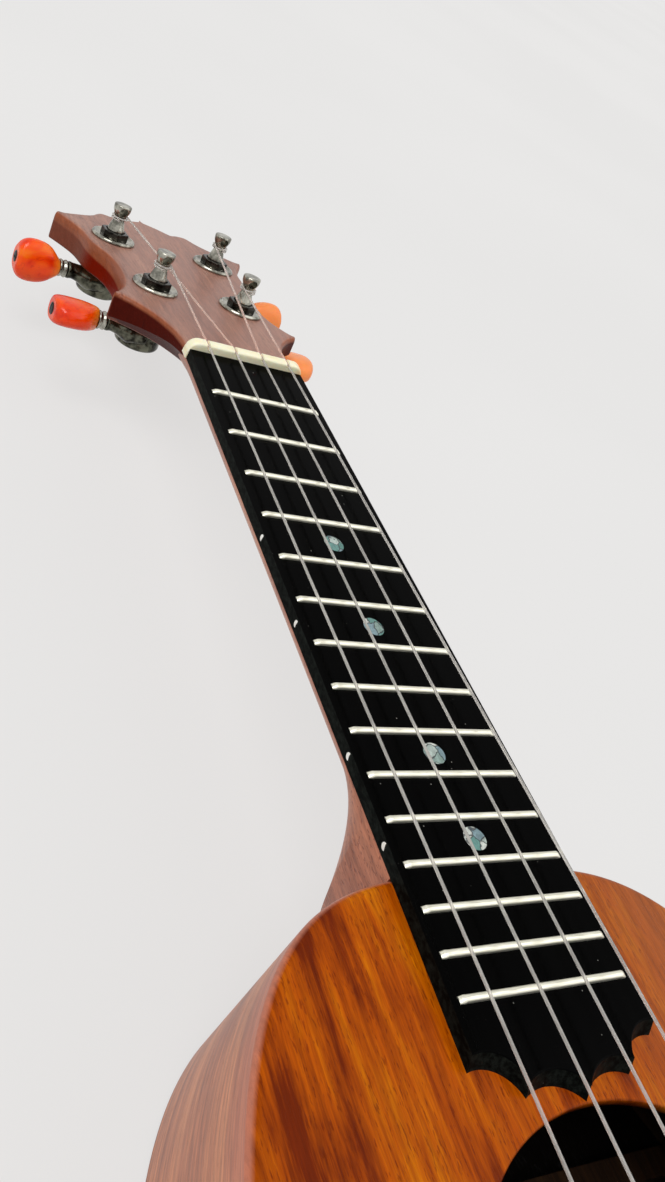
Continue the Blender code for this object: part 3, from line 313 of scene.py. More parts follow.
def inward_ways(loop):
    """Unit direction towards the inside at each point of a closed (x, y) loop."""
    edge = np.roll(loop, -1, axis=0) - loop
    edge /= np.linalg.norm(edge, axis=1)[:, None]
    normal = np.stack([-edge[:, 1], edge[:, 0]], axis=1)
    mean = normal + np.roll(normal, 1, axis=0)
    mean /= np.maximum(np.linalg.norm(mean, axis=1), 0.5)[:, None]
    area = np.sum(loop[:, 0] * np.roll(loop[:, 1], -1) - np.roll(loop[:, 0], -1) * loop[:, 1])
    return mean * math.copysign(1, area)


def room(loop, ways, most):
    """How far each point may move inwards, up to most, before another edge is nearer."""
    step = np.linspace(0.08, 1, 16) * most
    spot = loop[:, None] + step[None, :, None] * ways[:, None]
    run = np.roll(loop, -1, axis=0) - loop
    away = spot[:, :, None] - loop
    share = np.clip((away * run).sum(-1) / (run ** 2).sum(-1), 0, 1)
    gap = np.linalg.norm(away - share[..., None] * run, axis=-1).min(axis=-1)
    blocked = gap < 0.93 * step
    first = np.where(blocked.any(axis=1), step[blocked.argmax(axis=1)] - step[0], most)
    mean = (np.roll(first, 1) + first + np.roll(first, -1)) / 3
    return np.minimum(first, mean + most * 0.02)


def slab(loop, low, high, ease_low=0.0, ease_high=0.0, steps=4):
    """Plate of a given outline whose edges are quarter circles below and above."""
    loop = np.array(loop, float)
    ways = inward_ways(loop)
    rows = [(ease_low * (1 - math.cos(t)), low + ease_low * (1 - math.sin(t)))
            for t in np.linspace(np.pi / 2, 0, steps if ease_low else 1)]
    rows += [(ease_high * (1 - math.cos(t)), high - ease_high * (1 - math.sin(t)))
             for t in np.linspace(0, np.pi / 2, steps if ease_high else 1)]
    most = max(ease_low, ease_high)
    limit = room(loop, ways, most) / most if most else np.ones(len(loop))
    rings = [np.column_stack([loop + (inset * limit)[:, None] * ways, np.full(len(loop), height)])
             for inset, height in rows]
    return sheet(np.array(rings))


head_matrix = np.eye(4)
head_matrix[:3] = np.column_stack([(1, 0, 0), HEAD_ALONG, HEAD_UP, HEAD_ORIGIN])
print("headstock leans back by", round(math.degrees(TILT)), "degrees")

# %% [markdown]
# ## Node materials
# Finishes are noise stretched along the grain, so that stripes, fibres and pores have their real
# width. Colours are written as they look on a screen, and one small function adds each node.

# %% Material helpers
# Settings that many nodes share. Input 0 times input 1 plus input 2 is a straight line. A Mix node
# has sockets for each kind of data: its share is input 0, its colours are 6 and 7, and what comes
# out is output 2.
LINE = {"operation": "MULTIPLY_ADD"}
BLEND = {"data_type": "RGBA"}
TIMES = {"data_type": "RGBA", "blend_type": "MULTIPLY"}


def linear(colour):
    """Linear RGBA of a screen colour such as #A05010."""
    parts = [int(colour[i:i + 2], 16) / 255 for i in (1, 3, 5)]
    return (*[p / 12.92 if p <= 0.04045 else ((p + 0.055) / 1.055) ** 2.4 for p in parts], 1.0)


def feed(tree, node, inputs):
    """Give a node its inputs: numbers, screen colours or the sockets of other nodes."""
    for key, value in inputs.items():
        if isinstance(value, bpy.types.NodeSocket):
            tree.links.new(value, node.inputs[key])
        else:
            node.inputs[key].default_value = linear(value) if isinstance(value, str) else value


def add(tree, kind, inputs=None, out=0, stops=(), ease="EASE", **settings):
    """New node with its settings and links, and the one of its sockets that others read.

    Stops are the (position, screen colour or grey number) pairs of a colour ramp.
    """
    made = tree.nodes.new("ShaderNode" + kind)
    for key, value in settings.items():
        setattr(made, key, value)
    if stops:
        made.color_ramp.interpolation = ease
        band = made.color_ramp.elements
        while len(band) < len(stops):
            band.new(0.5)
        for element, (position, tone) in zip(band, stops):
            element.position = position
            element.color = linear(tone) if isinstance(tone, str) else (tone, tone, tone, 1)
    feed(tree, made, inputs or {})
    return made.outputs[out] if made.outputs else made


def start(name):
    """New material, its tree and the place of each point on the object."""
    material = bpy.data.materials.new(name)
    material.use_nodes = True
    tree = material.node_tree
    return material, tree, add(tree, "TexCoord", out="Object")


def streaks(tree, where, stretch, detail=2.0, roughness=0.5, distortion=0.0):
    """Noise on a stretched place: with 100 across, its features are 1/100 m or 10 mm wide."""
    place = add(tree, "Mapping", {"Vector": where, "Scale": stretch})
    return add(tree, "TexNoise", {"Vector": place, "Scale": 1.0, "Detail": detail,
                                  "Roughness": roughness, "Distortion": distortion}, "Fac")


def finished(material, colour, grit, bump=None, **values):
    """Material with a colour, a roughness of value * slope + plus, relief and even values."""
    tree = material.node_tree
    inputs = {"Base Color": colour, "Roughness": add(tree, "Math", dict(enumerate(grit)), **LINE)}
    if bump:
        inputs["Normal"] = add(tree, "Bump", {"Height": bump[0], "Distance": bump[1],
                                              "Strength": 1.0})
    inputs.update({key.replace("_", " "): value for key, value in values.items()})
    feed(tree, tree.nodes["Principled BSDF"], inputs)
    return material


print("material helpers ready")

# %% [markdown]
# ## Wood
# Koa, mahogany and rosewood are sawn, sanded and lacquered, and they are built alike: the grain
# wanders, broad stripes carry most of the colour, narrower ones and fibres break them up, and short
# dark pores lie along them. One recipe serves them all. Where the mesh notes a rounded edge another
# tone is laid over, and where it notes a face inside the box, which lies in the dark, a near-black
# painted shade.

# %% Wood recipe


def wood(name, tones, stripes=(60, 4, 20), spread=(0.36, 0.64), pores=0.5,
         pore_size=(2600, 420, 1400), roughness=0.3, gloss=0.5, grain=None, relief=0.00005,
         blotches=0.25, drift=(), layers=(), tones_and_shade=None):
    """Wood material. Tones run from the darkest stripe to the lightest.

    A weighted sum of four noises picks the tone: half of it broad stripes, a quarter stripes 4.3
    times as narrow, and the rest fibres and slow blotches. Drift multiplies the colour by tones
    that lie across the instrument, and layers lay a tone over it where the mesh says so.
    """
    material, tree, spot = start(name)
    where = add(tree, "Attribute", out="Vector", attribute_name=grain) if grain else spot
    wander = add(tree, "Math", {0: streaks(tree, where, (14, 5, 14)), 1: 0.012, 2: -0.006}, **LINE)
    shift = add(tree, "CombineXYZ", {"X": wander})
    bent = add(tree, "VectorMath", {0: where, 1: shift}, operation="ADD")
    fibre = streaks(tree, bent, (1300, 70, 500), 4, 0.7)
    value = -0.3 * blotches
    for part, weight in ((streaks(tree, bent, stripes, 3, 0.55, 0.3), 0.50),
                         (streaks(tree, bent, [s * 4.3 for s in stripes], 3, 0.6), 0.27),
                         (fibre, 0.23 - blotches * 0.2),
                         (streaks(tree, bent, (38, 30, 38), 3, 0.6), blotches * 0.8)):
        value = add(tree, "Math", {0: part, 1: weight, 2: value}, **LINE)
    colour = add(tree, "ValToRGB", {0: value}, ease="LINEAR",
                 stops=list(zip(np.linspace(*spread, len(tones)), tones)))
    pore = add(tree, "ValToRGB", {0: streaks(tree, bent, pore_size)},
               stops=[(0.58, 0.0), (0.68, 1.0)])
    share = add(tree, "Math", {0: pore, 1: pores}, operation="MULTIPLY")
    colour = add(tree, "Mix", {0: share, 6: colour, 7: tones[0]}, 2, **BLEND)
    thread = add(tree, "ValToRGB", {0: fibre}, stops=[(0.3, 0.76), (0.7, 1.16)])
    colour = add(tree, "Mix", {0: 0.85, 6: colour, 7: thread}, 2, **TIMES)
    if drift:
        across = add(tree, "Math", {0: add(tree, "SeparateXYZ", {0: spot}), 1: 6.0, 2: 0.5}, **LINE)
        tint = add(tree, "ValToRGB", {0: across}, stops=drift, ease="LINEAR")
        colour = add(tree, "Mix", {0: 1.0, 6: colour, 7: tint}, 2, **TIMES)
    # Layers over the grain: a tone along the rounded rim, pink towards the treble side, and
    # near-black painted shade on faces inside the box.
    for attribute, tone, most in layers:
        mark = add(tree, "Attribute", out="Fac", attribute_name=attribute)
        share = add(tree, "Math", {0: mark, 1: most}, operation="MULTIPLY")
        tone_on_grain = add(tree, "Mix", {0: 0.5, 6: tone, 7: thread}, 2, **TIMES)
        colour = add(tree, "Mix", {0: share, 6: colour, 7: tone_on_grain}, 2, **BLEND)
    if tones_and_shade:
        colour, gloss = tones_and_shade(tree, colour, thread, gloss)
    relief_height = add(tree, "Math", {0: pore, 1: -0.6, 2: fibre}, **LINE)
    return finished(material, colour, (fibre, 0.12, roughness - 0.06), (relief_height, relief),
                    Specular_IOR_Level=gloss)


def headstock_tones(tree, colour, thread, gloss):
    """Tones and gloss by place: a paler tone on the face, painted shade on the rounded edge and the
    walls, and in the hollow of the side a deep red that is painted shade with a painted reflection.

    Depth is 0.5 on the face and 1 on the underside, and hollow is 1 in the hollow of the side and
    0.6 by the crown.
    """
    depth, hollow = [add(tree, "Attribute", out="Fac", attribute_name=name)
                     for name in ("depth", "hollow")]
    face = add(tree, "ValToRGB", {0: depth},
               stops=[(0.45, 0.0), (0.50, 0.65), (0.51, 0.65), (0.53, 0.0)])
    rim = add(tree, "ValToRGB", {0: depth},
              stops=[(0.51, 0.0), (0.535, 0.85), (0.985, 0.85), (1.0, 0.0)])
    shifted = add(tree, "Math", {0: hollow, 1: -0.16, 2: depth}, **LINE)
    wall = add(tree, "Math", {
        0: add(tree, "ValToRGB", {0: shifted}, stops=[(0.545, 0.0), (0.60, 1.0)]),
        1: add(tree, "ValToRGB", {0: depth}, stops=[(0.985, 1.0), (1.0, 0.0)])},
        operation="MULTIPLY")
    # Wall tones, maroon by the flare, brown by the crown and deep red in the hollow: painted shade,
    # with a painted red reflection in the hollow.
    inner = add(tree, "ValToRGB", {0: hollow}, stops=[(0.0, "#48120A"), (0.4, "#784434"),
                                                      (0.65, "#784434"), (0.95, "#701402")])
    # Over the grain: the face's paler tone, painted shade on the rounded edge, and the wall tones.
    for share, tone in ((face, "#92736A"), (rim, "#84401C"), (wall, inner)):
        tone_on_grain = add(tree, "Mix", {0: 0.5, 6: tone, 7: thread}, 2, **TIMES)
        colour = add(tree, "Mix", {0: share, 6: colour, 7: tone_on_grain}, 2, **BLEND)
    return colour, add(tree, "Math", {0: wall, 1: -0.9 * gloss, 2: gloss}, **LINE)


print("wood recipe ready")

# %% [markdown]
# ## Six woods
# Soundboard, ribs and back are koa, golden on the face and pinker on the ribs, whose grain follows
# the bend. Neck and headstock are mahogany with many short pores, the bridge is rosewood, and the
# wood inside the box is painted nearly black, a painted shade that keeps the soundhole dark.

# %% Woods of this instrument
# Near-black painted shade on faces inside the box, where little light reaches.
IN_THE_DARK = ("inside", "#060302", 1.0)
koa_top = wood("koa_soundboard", ("#702400", "#963E00", "#AE4E00", "#BC5E00", "#CA7200"),
               stripes=(105, 11, 20), spread=(0.385, 0.615), pores=0.6, gloss=0.07, blotches=0.45,
               drift=[(0.0, "#FFFFF0"), (0.5, "#FFF8F0"), (0.62, "#F4ECE0"), (1.0, "#EAE0E8")],
               layers=[("pink", "#A8643C", 0.6), ("rim", "#CC826A", 0.85), IN_THE_DARK])
koa_rib = wood("koa_ribs", ("#985C46", "#AE6C52", "#C07A5A", "#D08862", "#DE9874"),
               stripes=(170, 7, 20), spread=(0.38, 0.62), pores=0.3, roughness=0.38, gloss=0.32,
               grain="grain", blotches=0.15, layers=[("rim", "#C87860", 0.7), IN_THE_DARK])
koa_back = wood("koa_back", ("#6A2400", "#84380A", "#9C4C14", "#AC5C1A", "#BC7024"),
                stripes=(85, 5, 20), pores=0.35, roughness=0.34, gloss=0.35, layers=[IN_THE_DARK])
neck_wood = wood("neck_mahogany", ("#84422C", "#A05C40", "#B46E50", "#C27C5C", "#D08E6C"),
                 stripes=(120, 8, 90), pores=0.8, pore_size=(2400, 620, 1500), roughness=0.36,
                 gloss=0.28, blotches=0.1, relief=0.00008, tones_and_shade=headstock_tones)
bridge_wood = wood("bridge_rosewood", ("#1C0E0A", "#2E1810", "#3C2016", "#4A2A1C"),
                   stripes=(7, 150, 60), roughness=0.38, gloss=0.4)
# The wood inside the box is painted nearly black, a painted shade that keeps the soundhole dark.
shaded_inner_wood = wood("inner_wood_painted_shade", ("#160C06", "#1E120A", "#28180C", "#302010"),
                  stripes=(200, 6, 200), pores=0.2, roughness=0.65, gloss=0.1)
print("woods:", len(bpy.data.materials))

# %% [markdown]
# ## Ebony and bone
# The fretboard is ebony: nearly black, polished on its face, duller and greyer on its sawn sides,
# with a little dust. Nut and saddle are bone, a cloudy cream that light enters a little way.

# %% Ebony and bone


def ebony():
    """Polished black wood: a hint of grain, specks of dust, and duller grey-green sides."""
    material, tree, where = start("fretboard_ebony")
    grain = streaks(tree, where, (420, 12, 200), 4, 0.65)
    colour = add(tree, "ValToRGB", {0: grain},
                 stops=[(0.35, "#010101"), (0.6, "#020202"), (0.75, "#040404")])
    upwards = add(tree, "SeparateXYZ", {0: add(tree, "NewGeometry", out="Normal")}, 2)
    side = add(tree, "ValToRGB", {0: upwards}, stops=[(0.35, 1.0), (0.8, 0.0)])
    sawn = add(tree, "ValToRGB", {0: streaks(tree, where, (900, 500, 900), 4, 0.7)},
               stops=[(0.35, "#060706"), (0.7, "#1C201D")])
    colour = add(tree, "Mix", {0: side, 6: colour, 7: sawn}, 2, **BLEND)
    dust = add(tree, "TexVoronoi", {"Vector": where, "Scale": 420.0, "Randomness": 1.0}, "Distance")
    speck = add(tree, "ValToRGB", {0: dust}, stops=[(0.03, 1.0), (0.08, 0.0)])
    chosen = add(tree, "ValToRGB", {0: streaks(tree, where, (130, 130, 130), 1)},
                 stops=[(0.58, 0.0), (0.64, 1.0)])
    share = 0.7
    for part in (speck, chosen):
        share = add(tree, "Math", {0: part, 1: share}, operation="MULTIPLY")
    colour = add(tree, "Mix", {0: share, 6: colour, 7: "#A8A8A0"}, 2, **BLEND)
    return finished(material, colour, (side, 0.25, 0.20), (grain, 0.00002),
                    Specular_IOR_Level=0.015)


def warm_end(tree, where, colour, stops, tone):
    """Colour that warms towards the treble side: 1 on the ramp lies 25 mm from the middle."""
    across = add(tree, "Math", {0: add(tree, "SeparateXYZ", {0: where}), 1: 40.0},
                 operation="MULTIPLY")
    share = add(tree, "ValToRGB", {0: across}, stops=stops)
    return add(tree, "Mix", {0: share, 6: colour, 7: tone}, 2, **BLEND)


def bone():
    """Cream bone: cloudy, with faint streaks along the nut and a soft polish, warmer at one end."""
    material, tree, where = start("bone")
    cloud = streaks(tree, where, (160, 420, 420), 4, 0.6)
    colour = add(tree, "ValToRGB", {0: cloud},
                 stops=[(0.3, "#FFF2C8"), (0.5, "#FFF7D4"), (0.7, "#FFFCE4")])
    colour = warm_end(tree, where, colour, [(0.66, 0.0), (0.78, 0.6)], "#FFB060")
    return finished(material, colour, (cloud, 0.2, 0.25),
                    (streaks(tree, where, (900, 2600, 2600)), 0.00002), Specular_IOR_Level=0.4,
                    Subsurface_Weight=0.25, Subsurface_Scale=0.003,
                    Subsurface_Radius=(1.0, 0.7, 0.4))


EBONY = ebony()
BONE = bone()
print("ebony and bone ready")

# %% [markdown]
# ## Metals
# Fret wire is drawn nickel silver, pale and brushed along its length. The tuners are turned and
# plated, with fine turning marks and smudges, bright on the posts and washers and dark on the
# gearboxes. Turning marks are finer than the picture shows, so they are drawn 0.2 mm apart.

# %% Metals


def fret_metal():
    """Pale nickel silver: brushed along the fret and slightly warm."""
    material, tree, where = start("fret_wire")
    brush = streaks(tree, where, (260, 5200, 5200), 3, 0.6)
    colour = add(tree, "ValToRGB", {0: brush}, stops=[(0.3, "#E2E0CC"), (0.7, "#FEFCEC")])
    return finished(material, colour, (brush, 0.2, 0.22), (brush, 0.00001), Metallic=0.85)


def tuner_metal(name, dark, light, roughness, metallic=1.0):
    """Polished metal with fine turning marks and smudges."""
    material, tree, where = start(name)
    smudge = streaks(tree, where, (300, 300, 300), 4, 0.6)
    colour = add(tree, "ValToRGB", {0: smudge}, stops=[(0.35, dark), (0.65, light)])
    return finished(material, colour, (smudge, 0.16, roughness - 0.08),
                    (streaks(tree, where, (1200, 1200, 5200)), 0.00001), Metallic=metallic)


FRET_METAL = fret_metal()
POST_METAL = tuner_metal("post_metal", "#6E6D64", "#BCBAAE", 0.16)
BOX_METAL = tuner_metal("housing_metal", "#12100C", "#6C6C5E", 0.20)
# The hexagon belongs to the bushing but gets a darker metal than the washer: painted shade for its
# dark faces.
SHADED_HEX_METAL = tuner_metal("hexagon_metal", "#161513", "#403D38", 0.22)
BLACK = tuner_metal("black_screw", "#060505", "#120F0E", 0.35, 0.3)
DOT_WHITE = tuner_metal("side_dot", "#F0EEE6", "#FFFEF8", 0.4, 0.0)
print("metals ready")

# %% [markdown]
# ## Marbled plastic, shell and nylon
# The buttons are cast from marbled orange plastic that light sinks into and that is paler at the
# collar, so they get clouds and scattering; a deeper red on their undersides is painted shade. The
# face dots are abalone, ground flat: patches of green and grey, which Voronoi cells give, with dark
# lines. The strings are drawn nylon, clear, so that they show what lies behind them, and past the
# nut a painted pink stands for the red headstock seen through them.

# %% Plastic, shell and nylon


def marbled():
    """Marbled plastic: soft clouds from deep red to orange, with light under the skin."""
    material, tree, where = start("button_marbled")
    swirl = streaks(tree, where, (95, 75, 95), 2, 0.5, 0.8)
    colour = add(tree, "ValToRGB", {0: swirl}, stops=[
        (0.32, "#DC2800"), (0.44, "#F04000"), (0.55, "#FC5400"), (0.68, "#FF6E08"),
        (0.80, "#FF8A20")])
    vein = add(tree, "ValToRGB", {0: streaks(tree, where, (240, 190, 240), 2, 0.5, 1.2)},
               stops=[(0.56, 0.0), (0.62, 0.3), (0.68, 0.0)])
    low, near = [add(tree, "Attribute", out="Fac", attribute_name=name) for name in ("low", "near")]
    # The deeper red on the lower side is painted shade.
    for share, tone in ((vein, "#C01400"), (low, "#D83400"), (near, "#FFA030")):
        colour = add(tree, "Mix", {0: share, 6: colour, 7: tone}, 2, **BLEND)
    colour = warm_end(tree, where, colour, [(0.5, 0.0), (0.9, 0.8)], "#FFA058")
    return finished(material, colour, (swirl, 0.15, 0.16), Specular_IOR_Level=0.3,
                    Subsurface_Weight=0.3, Subsurface_Scale=0.003,
                    Subsurface_Radius=(1.0, 0.25, 0.05), Coat_Weight=0.06, Coat_Roughness=0.12)


def abalone():
    """Abalone shell: large patches with dark lines between them, rippled, under clear polish."""
    material, tree, where = start("abalone")
    push = add(tree, "TexNoise", {"Vector": where, "Scale": 500.0, "Detail": 2.0}, "Color")
    folded = add(tree, "VectorMath", {0: push, 1: (0.002, 0.002, 0.002), 2: where},
                 operation="MULTIPLY_ADD")
    cells = {"Vector": folded, "Scale": 300.0}
    tone = add(tree, "SeparateXYZ", {0: add(tree, "TexVoronoi", cells, "Color")})
    colour = add(tree, "ValToRGB", {0: tone}, ease="CONSTANT", stops=[
        (0.0, "#5C9088"), (0.2, "#B4C4BC"), (0.4, "#8AA49C"), (0.6, "#D2D8D0"), (0.8, "#7C98A0")])
    ripple = streaks(tree, folded, (900, 500, 900), 3, 0.6, 1.0)
    sheen = add(tree, "ValToRGB", {0: ripple}, stops=[(0.3, 0.6), (0.7, 1.25)])
    colour = add(tree, "Mix", {0: 0.7, 6: colour, 7: sheen}, 2, **TIMES)
    seam = add(tree, "TexVoronoi", cells, "Distance", feature="DISTANCE_TO_EDGE")
    dark = add(tree, "ValToRGB", {0: seam}, stops=[(0.02, 0.85), (0.07, 0.0)])
    colour = add(tree, "Mix", {0: dark, 6: colour, 7: "#20242A"}, 2, **BLEND)
    return finished(material, colour, (ripple, 0.2, 0.1), Metallic=0.25, Coat_Weight=0.4,
                    Coat_Roughness=0.1)


def nylon():
    """Clear nylon string: pale grey, see-through, faintly uneven along its length."""
    material, tree, where = start("nylon_string")
    uneven = streaks(tree, where, (900, 60, 900), 3)
    colour = add(tree, "ValToRGB", {0: uneven}, stops=[(0.3, "#DCD8D2"), (0.7, "#F6F2EC")])
    # Past the nut the string takes a painted pink, standing for the red headstock seen through the
    # clear nylon.
    near = add(tree, "Attribute", out="Fac", attribute_name="near")
    colour = add(tree, "Mix", {0: near, 6: colour, 7: "#FFDCCC"}, 2, **BLEND)
    return finished(material, colour, (uneven, 0.1, 0.14), Transmission_Weight=0.66, IOR=1.45)


BUTTON = marbled()
SHELL = abalone()
NYLON = nylon()
print("finishes:", len(bpy.data.materials))

# %% [markdown]
# ## The outline of the body
# A pineapple ukulele has no waist: its outline is close to one superellipse above the widest place
# and to another below it. It is sampled at even distances, because a rib is bent from a strip.

# %% Body outline


def even_steps(points, count):
    """Points at even distances along a path, with the distance of each."""
    length = np.concatenate([[0], np.cumsum(np.linalg.norm(np.diff(points, axis=0), axis=1))])
    at = np.linspace(0, length[-1], count)
    return np.stack([np.interp(at, length, points[:, i]) for i in (0, 1)], axis=1), at


def half_edge(inset=0.0, count=900):
    """Treble half of the body's edge from neck end to tail, moved inwards, with distances.

    Above the widest place x goes with the sine of a turn to a power and y with its cosine, and
    below it both go with cosine and sine to another power.
    """
    turn = np.linspace(0, np.pi / 2, 1500)
    upper = np.stack([BODY_HALF * np.sin(turn) ** SHOULDER_POWER,
                      Y_WIDEST + SHOULDER * np.cos(turn)], axis=1)
    lower = np.stack([BODY_HALF * np.abs(np.cos(turn)) ** TAIL_POWER,
                      Y_WIDEST - TAIL * np.sin(turn) ** TAIL_POWER], axis=1)
    path, _ = even_steps(np.concatenate([upper, lower[1:]]), 3000)
    path = path + inset * ways_along(path)[:, ::-1] * (1, -1)
    path[0, 0] = path[-1, 0] = 0
    return even_steps(path, count)


def reach(angle, inset=0.0):
    """Distance from the soundhole's centre to the body's edge in each direction."""
    half = half_edge(inset)[0]
    whole = np.concatenate([half, half[-2:0:-1] * (-1, 1)]) - (0, Y_HOLE)
    around = np.arctan2(whole[:, 1], whole[:, 0])
    order = np.argsort(around)
    return np.interp(angle, around[order], np.linalg.norm(whole, axis=1)[order], period=2 * np.pi)


print("half outline:", round(float(half_edge()[1][-1]), 3), "m")

# %% [markdown]
# ## Soundboard and back
# At each angle round the oval hole one cross-section climbs its wall, crosses the face, rounds the
# outer edge and comes back underneath. The back is the same sheet without a hole.

# %% Soundboard and back


def plate(face, inside, edge, hole, sides=720):
    """Body plate whose outer face is at z = face, with an oval hole or none and a rounded edge.

    Each row is a distance from the middle, a height, how much it is edge and how much it lies
    inside the box.
    """
    angle = np.linspace(-np.pi, np.pi, sides, endpoint=False)
    up = math.copysign(1, face - inside)
    oval = 1 / np.hypot(np.cos(angle) / HOLE_HALF_WIDTH, np.sin(angle) / HOLE_HALF_LENGTH)
    inner = oval if hole else np.full(sides, 0.002)
    ease = 0.0005 if hole else 0.0
    brim = reach(angle, edge)
    rows = [(inner, inside, 0, 1)]
    rows += [(inner + ease * (1 - math.cos(t)), face - up * ease * (1 - math.sin(t)), 0,
              0.6 * math.cos(t)) for t in np.linspace(0, np.pi / 2, 4 if hole else 1)]
    rows += [(inner + (brim - inner) * part, face, 0, 0) for part in (0.2, 0.4, 0.6, 0.8, 0.95)]
    rows += [(reach(angle, edge * (1 - math.sin(t))), face - up * edge * (1 - math.cos(t)),
              min(1, max(0, t - 0.5) * 2.2), 0) for t in np.linspace(0, np.pi / 2, 8)]
    rows += [(reach(angle), inside, 1, 0), (reach(angle, 0.0005), inside, 0, 1),
             (inner + (brim - inner) * 0.5, inside, 0, 1)]
    sheets = np.array([np.column_stack([away * np.cos(angle), Y_HOLE + away * np.sin(angle),
                                        np.full(sides, height)]) for away, height, _, _ in rows])
    return sheet(sheets, ring=hole), [np.repeat([row[i] for row in rows], sides) for i in (2, 3)]


for name, material, node, measures in (
        ("soundboard_koa", koa_top, "soundboard", (Z_TOP, Z_TOP - PLATE, 0.0019, True)),
        ("back_koa", koa_back, "back", (0.0, PLATE, 0.0015, False))):
    shape, (rim, hidden) = plate(*measures)
    made = piece(name, [shape], material, nodes=[node], rim=rim, inside=hidden)
    note(made, pink=np.clip((spots_of(made)[:, 0] - 0.012) / 0.03, 0, 1))
    print(name, "faces:", len(made.data.polygons))

# %% [markdown]
# ## Ribs
# Each rib is a strip of koa bent round half of the outline: a rectangle carried along it. Every
# point carries its height and its distance along the bend, so that the grain runs round the
# corner.

# %% Ribs


def rib(side, count=500):
    """Bent rib: a rectangle carried along the outline, with (height, distance along) per point."""
    low, high = PLATE, Z_TOP - PLATE
    outer, along = half_edge(0.0, count)
    inner, _ = half_edge(PLATE, count)
    heights = np.linspace(low, high, 12)
    columns = [(outer, z) for z in heights] + [(inner, z) for z in heights[::-1]]
    rows = np.stack([np.column_stack([path * (side, 1), np.full(count, z)])
                     for path, z in columns], axis=1)
    grain = np.stack([np.column_stack([np.full(count, z), along, np.full(count, side * 0.1)])
                      for _, z in columns], axis=1)
    rim = [max(0, (z - high) / 0.008 + 1) for z in heights] + [0.0] * 12
    return sheet(rows), {"grain": grain.reshape(-1, 3), "rim": np.tile(rim, count),
                         "inside": np.tile([0.0] * 12 + [1.0] * 12, count)}


for name, side in (("bass", -1), ("treble", 1)):
    shape, notes = rib(side)
    piece("rib_koa_" + name, [shape], koa_rib, nodes=["rib_" + name], **notes)
print("ribs bent round", round(float(half_edge()[1][-1]), 3), "m each")

# %% [markdown]
# ## Neck
# The neck is one piece: flat on top, round at the back, and swelling into the heel. Rings across
# it keep one depth along the playing length, grow over the last two centimetres and end on the
# curve of the ribs.

# %% Neck


def neck_back():
    """Rings across the neck, each a drop from the flat top by a power of the way to the edge.

    The drop is depth * (1 + 0.26 swell) * (1 - across^1.64)^0.75 and never more than the depth,
    and swell goes from 0 on the neck to 1 at the heel.
    """
    across = np.sin(np.linspace(-np.pi / 2, np.pi / 2, 49))
    rows = [(HEAD_ORIGIN[1] + behind, Z_TOP - behind * math.tan(TILT),
             NECK_DEPTH - 0.0053 * (behind / 0.026) ** 2, BOARD_HALF_AT_NUT)
            for behind in np.linspace(0.026, 0.0015, 14)]
    for from_nut in (*np.linspace(0, 0.142, 24), *np.linspace(HEEL_START, 0.1601, 30),
                     0.1622, 0.1645):
        share = np.clip((from_nut - HEEL_START) / HEEL_LONG, 0, 1)
        y = Y_NUT - from_nut
        rows.append((y, Z_TOP, NECK_DEPTH + HEEL_SWELL * share ** 1.71, board_half(y)))
    body = half_edge()[0][:400]
    half = board_half(Y_JOIN)
    rows.append((np.interp(np.abs(across * half), *body.T), Z_TOP, NECK_DEPTH + HEEL_SWELL, half))
    rings = []
    for y, z_top, depth, half in rows:
        swell = max((depth - NECK_DEPTH) / HEEL_SWELL, 0)
        drop = depth * (1 + 0.26 * swell) * (1 - np.abs(across) ** 1.64) ** 0.75
        rings.append(np.column_stack([across * half, np.full(49, y),
                                      z_top - np.minimum(depth, drop)]))
    return sheet(np.array(rings))


piece("neck_and_heel", [neck_back()], neck_wood, nodes=["neck"], angle=45)
print("neck from nut to heel:", round(Y_NUT - Y_JOIN, 4), "m")

# %% [markdown]
# ## Headstock
# A flat plate has flared shoulders, hollow sides and a crown of three humps. Smooth runs between
# the sharp corners draw its outline, two wedges thin the flare from below, and four bores take the
# tuners. The mesh notes how deep each vertex lies, as the face takes a paler tone while the edge
# and walls carry painted shade, and the hollow of the side a painted red reflection.

# %% Headstock
SHOULDER_TIP = (0.0338, 0.0307)
FLARE = ((0.0194, 0.0), (0.0202, 0.0099), (0.0234, 0.0190), (0.0283, 0.0259), SHOULDER_TIP)


def crown_loop():
    """Outline of the headstock, from the nut round the treble side, crown and bass side."""
    corner, cusp, top = (0.0378, 0.0976), (0.0106, 0.1097), (0.0, 0.1160)
    runs = (FLARE,
            (SHOULDER_TIP, (0.0282, 0.0400), (0.0259, 0.0521), (0.0265, 0.0637), (0.0304, 0.0741),
             (0.0321, 0.0856), corner),
            (corner, (0.0295, 0.1019), (0.0229, 0.1059), (0.0180, 0.1113), (0.0133, 0.1112), cusp),
            (cusp, (0.0065, 0.1127), top))
    half = np.concatenate([softened(run, 8)[:-1] for run in runs] + [[top]])
    for tip in np.array((SHOULDER_TIP, corner)):
        at = int(np.argmin(np.linalg.norm(half - tip, axis=1)))
        before, after = [tip + (half[at + way] - tip) * 0.9 for way in (-1, 1)]
        half = np.concatenate([half[:at], bend(before, tip, after, 8), half[at + 1:]])
    return np.concatenate([half, half[-2::-1] * (-1, 1)])


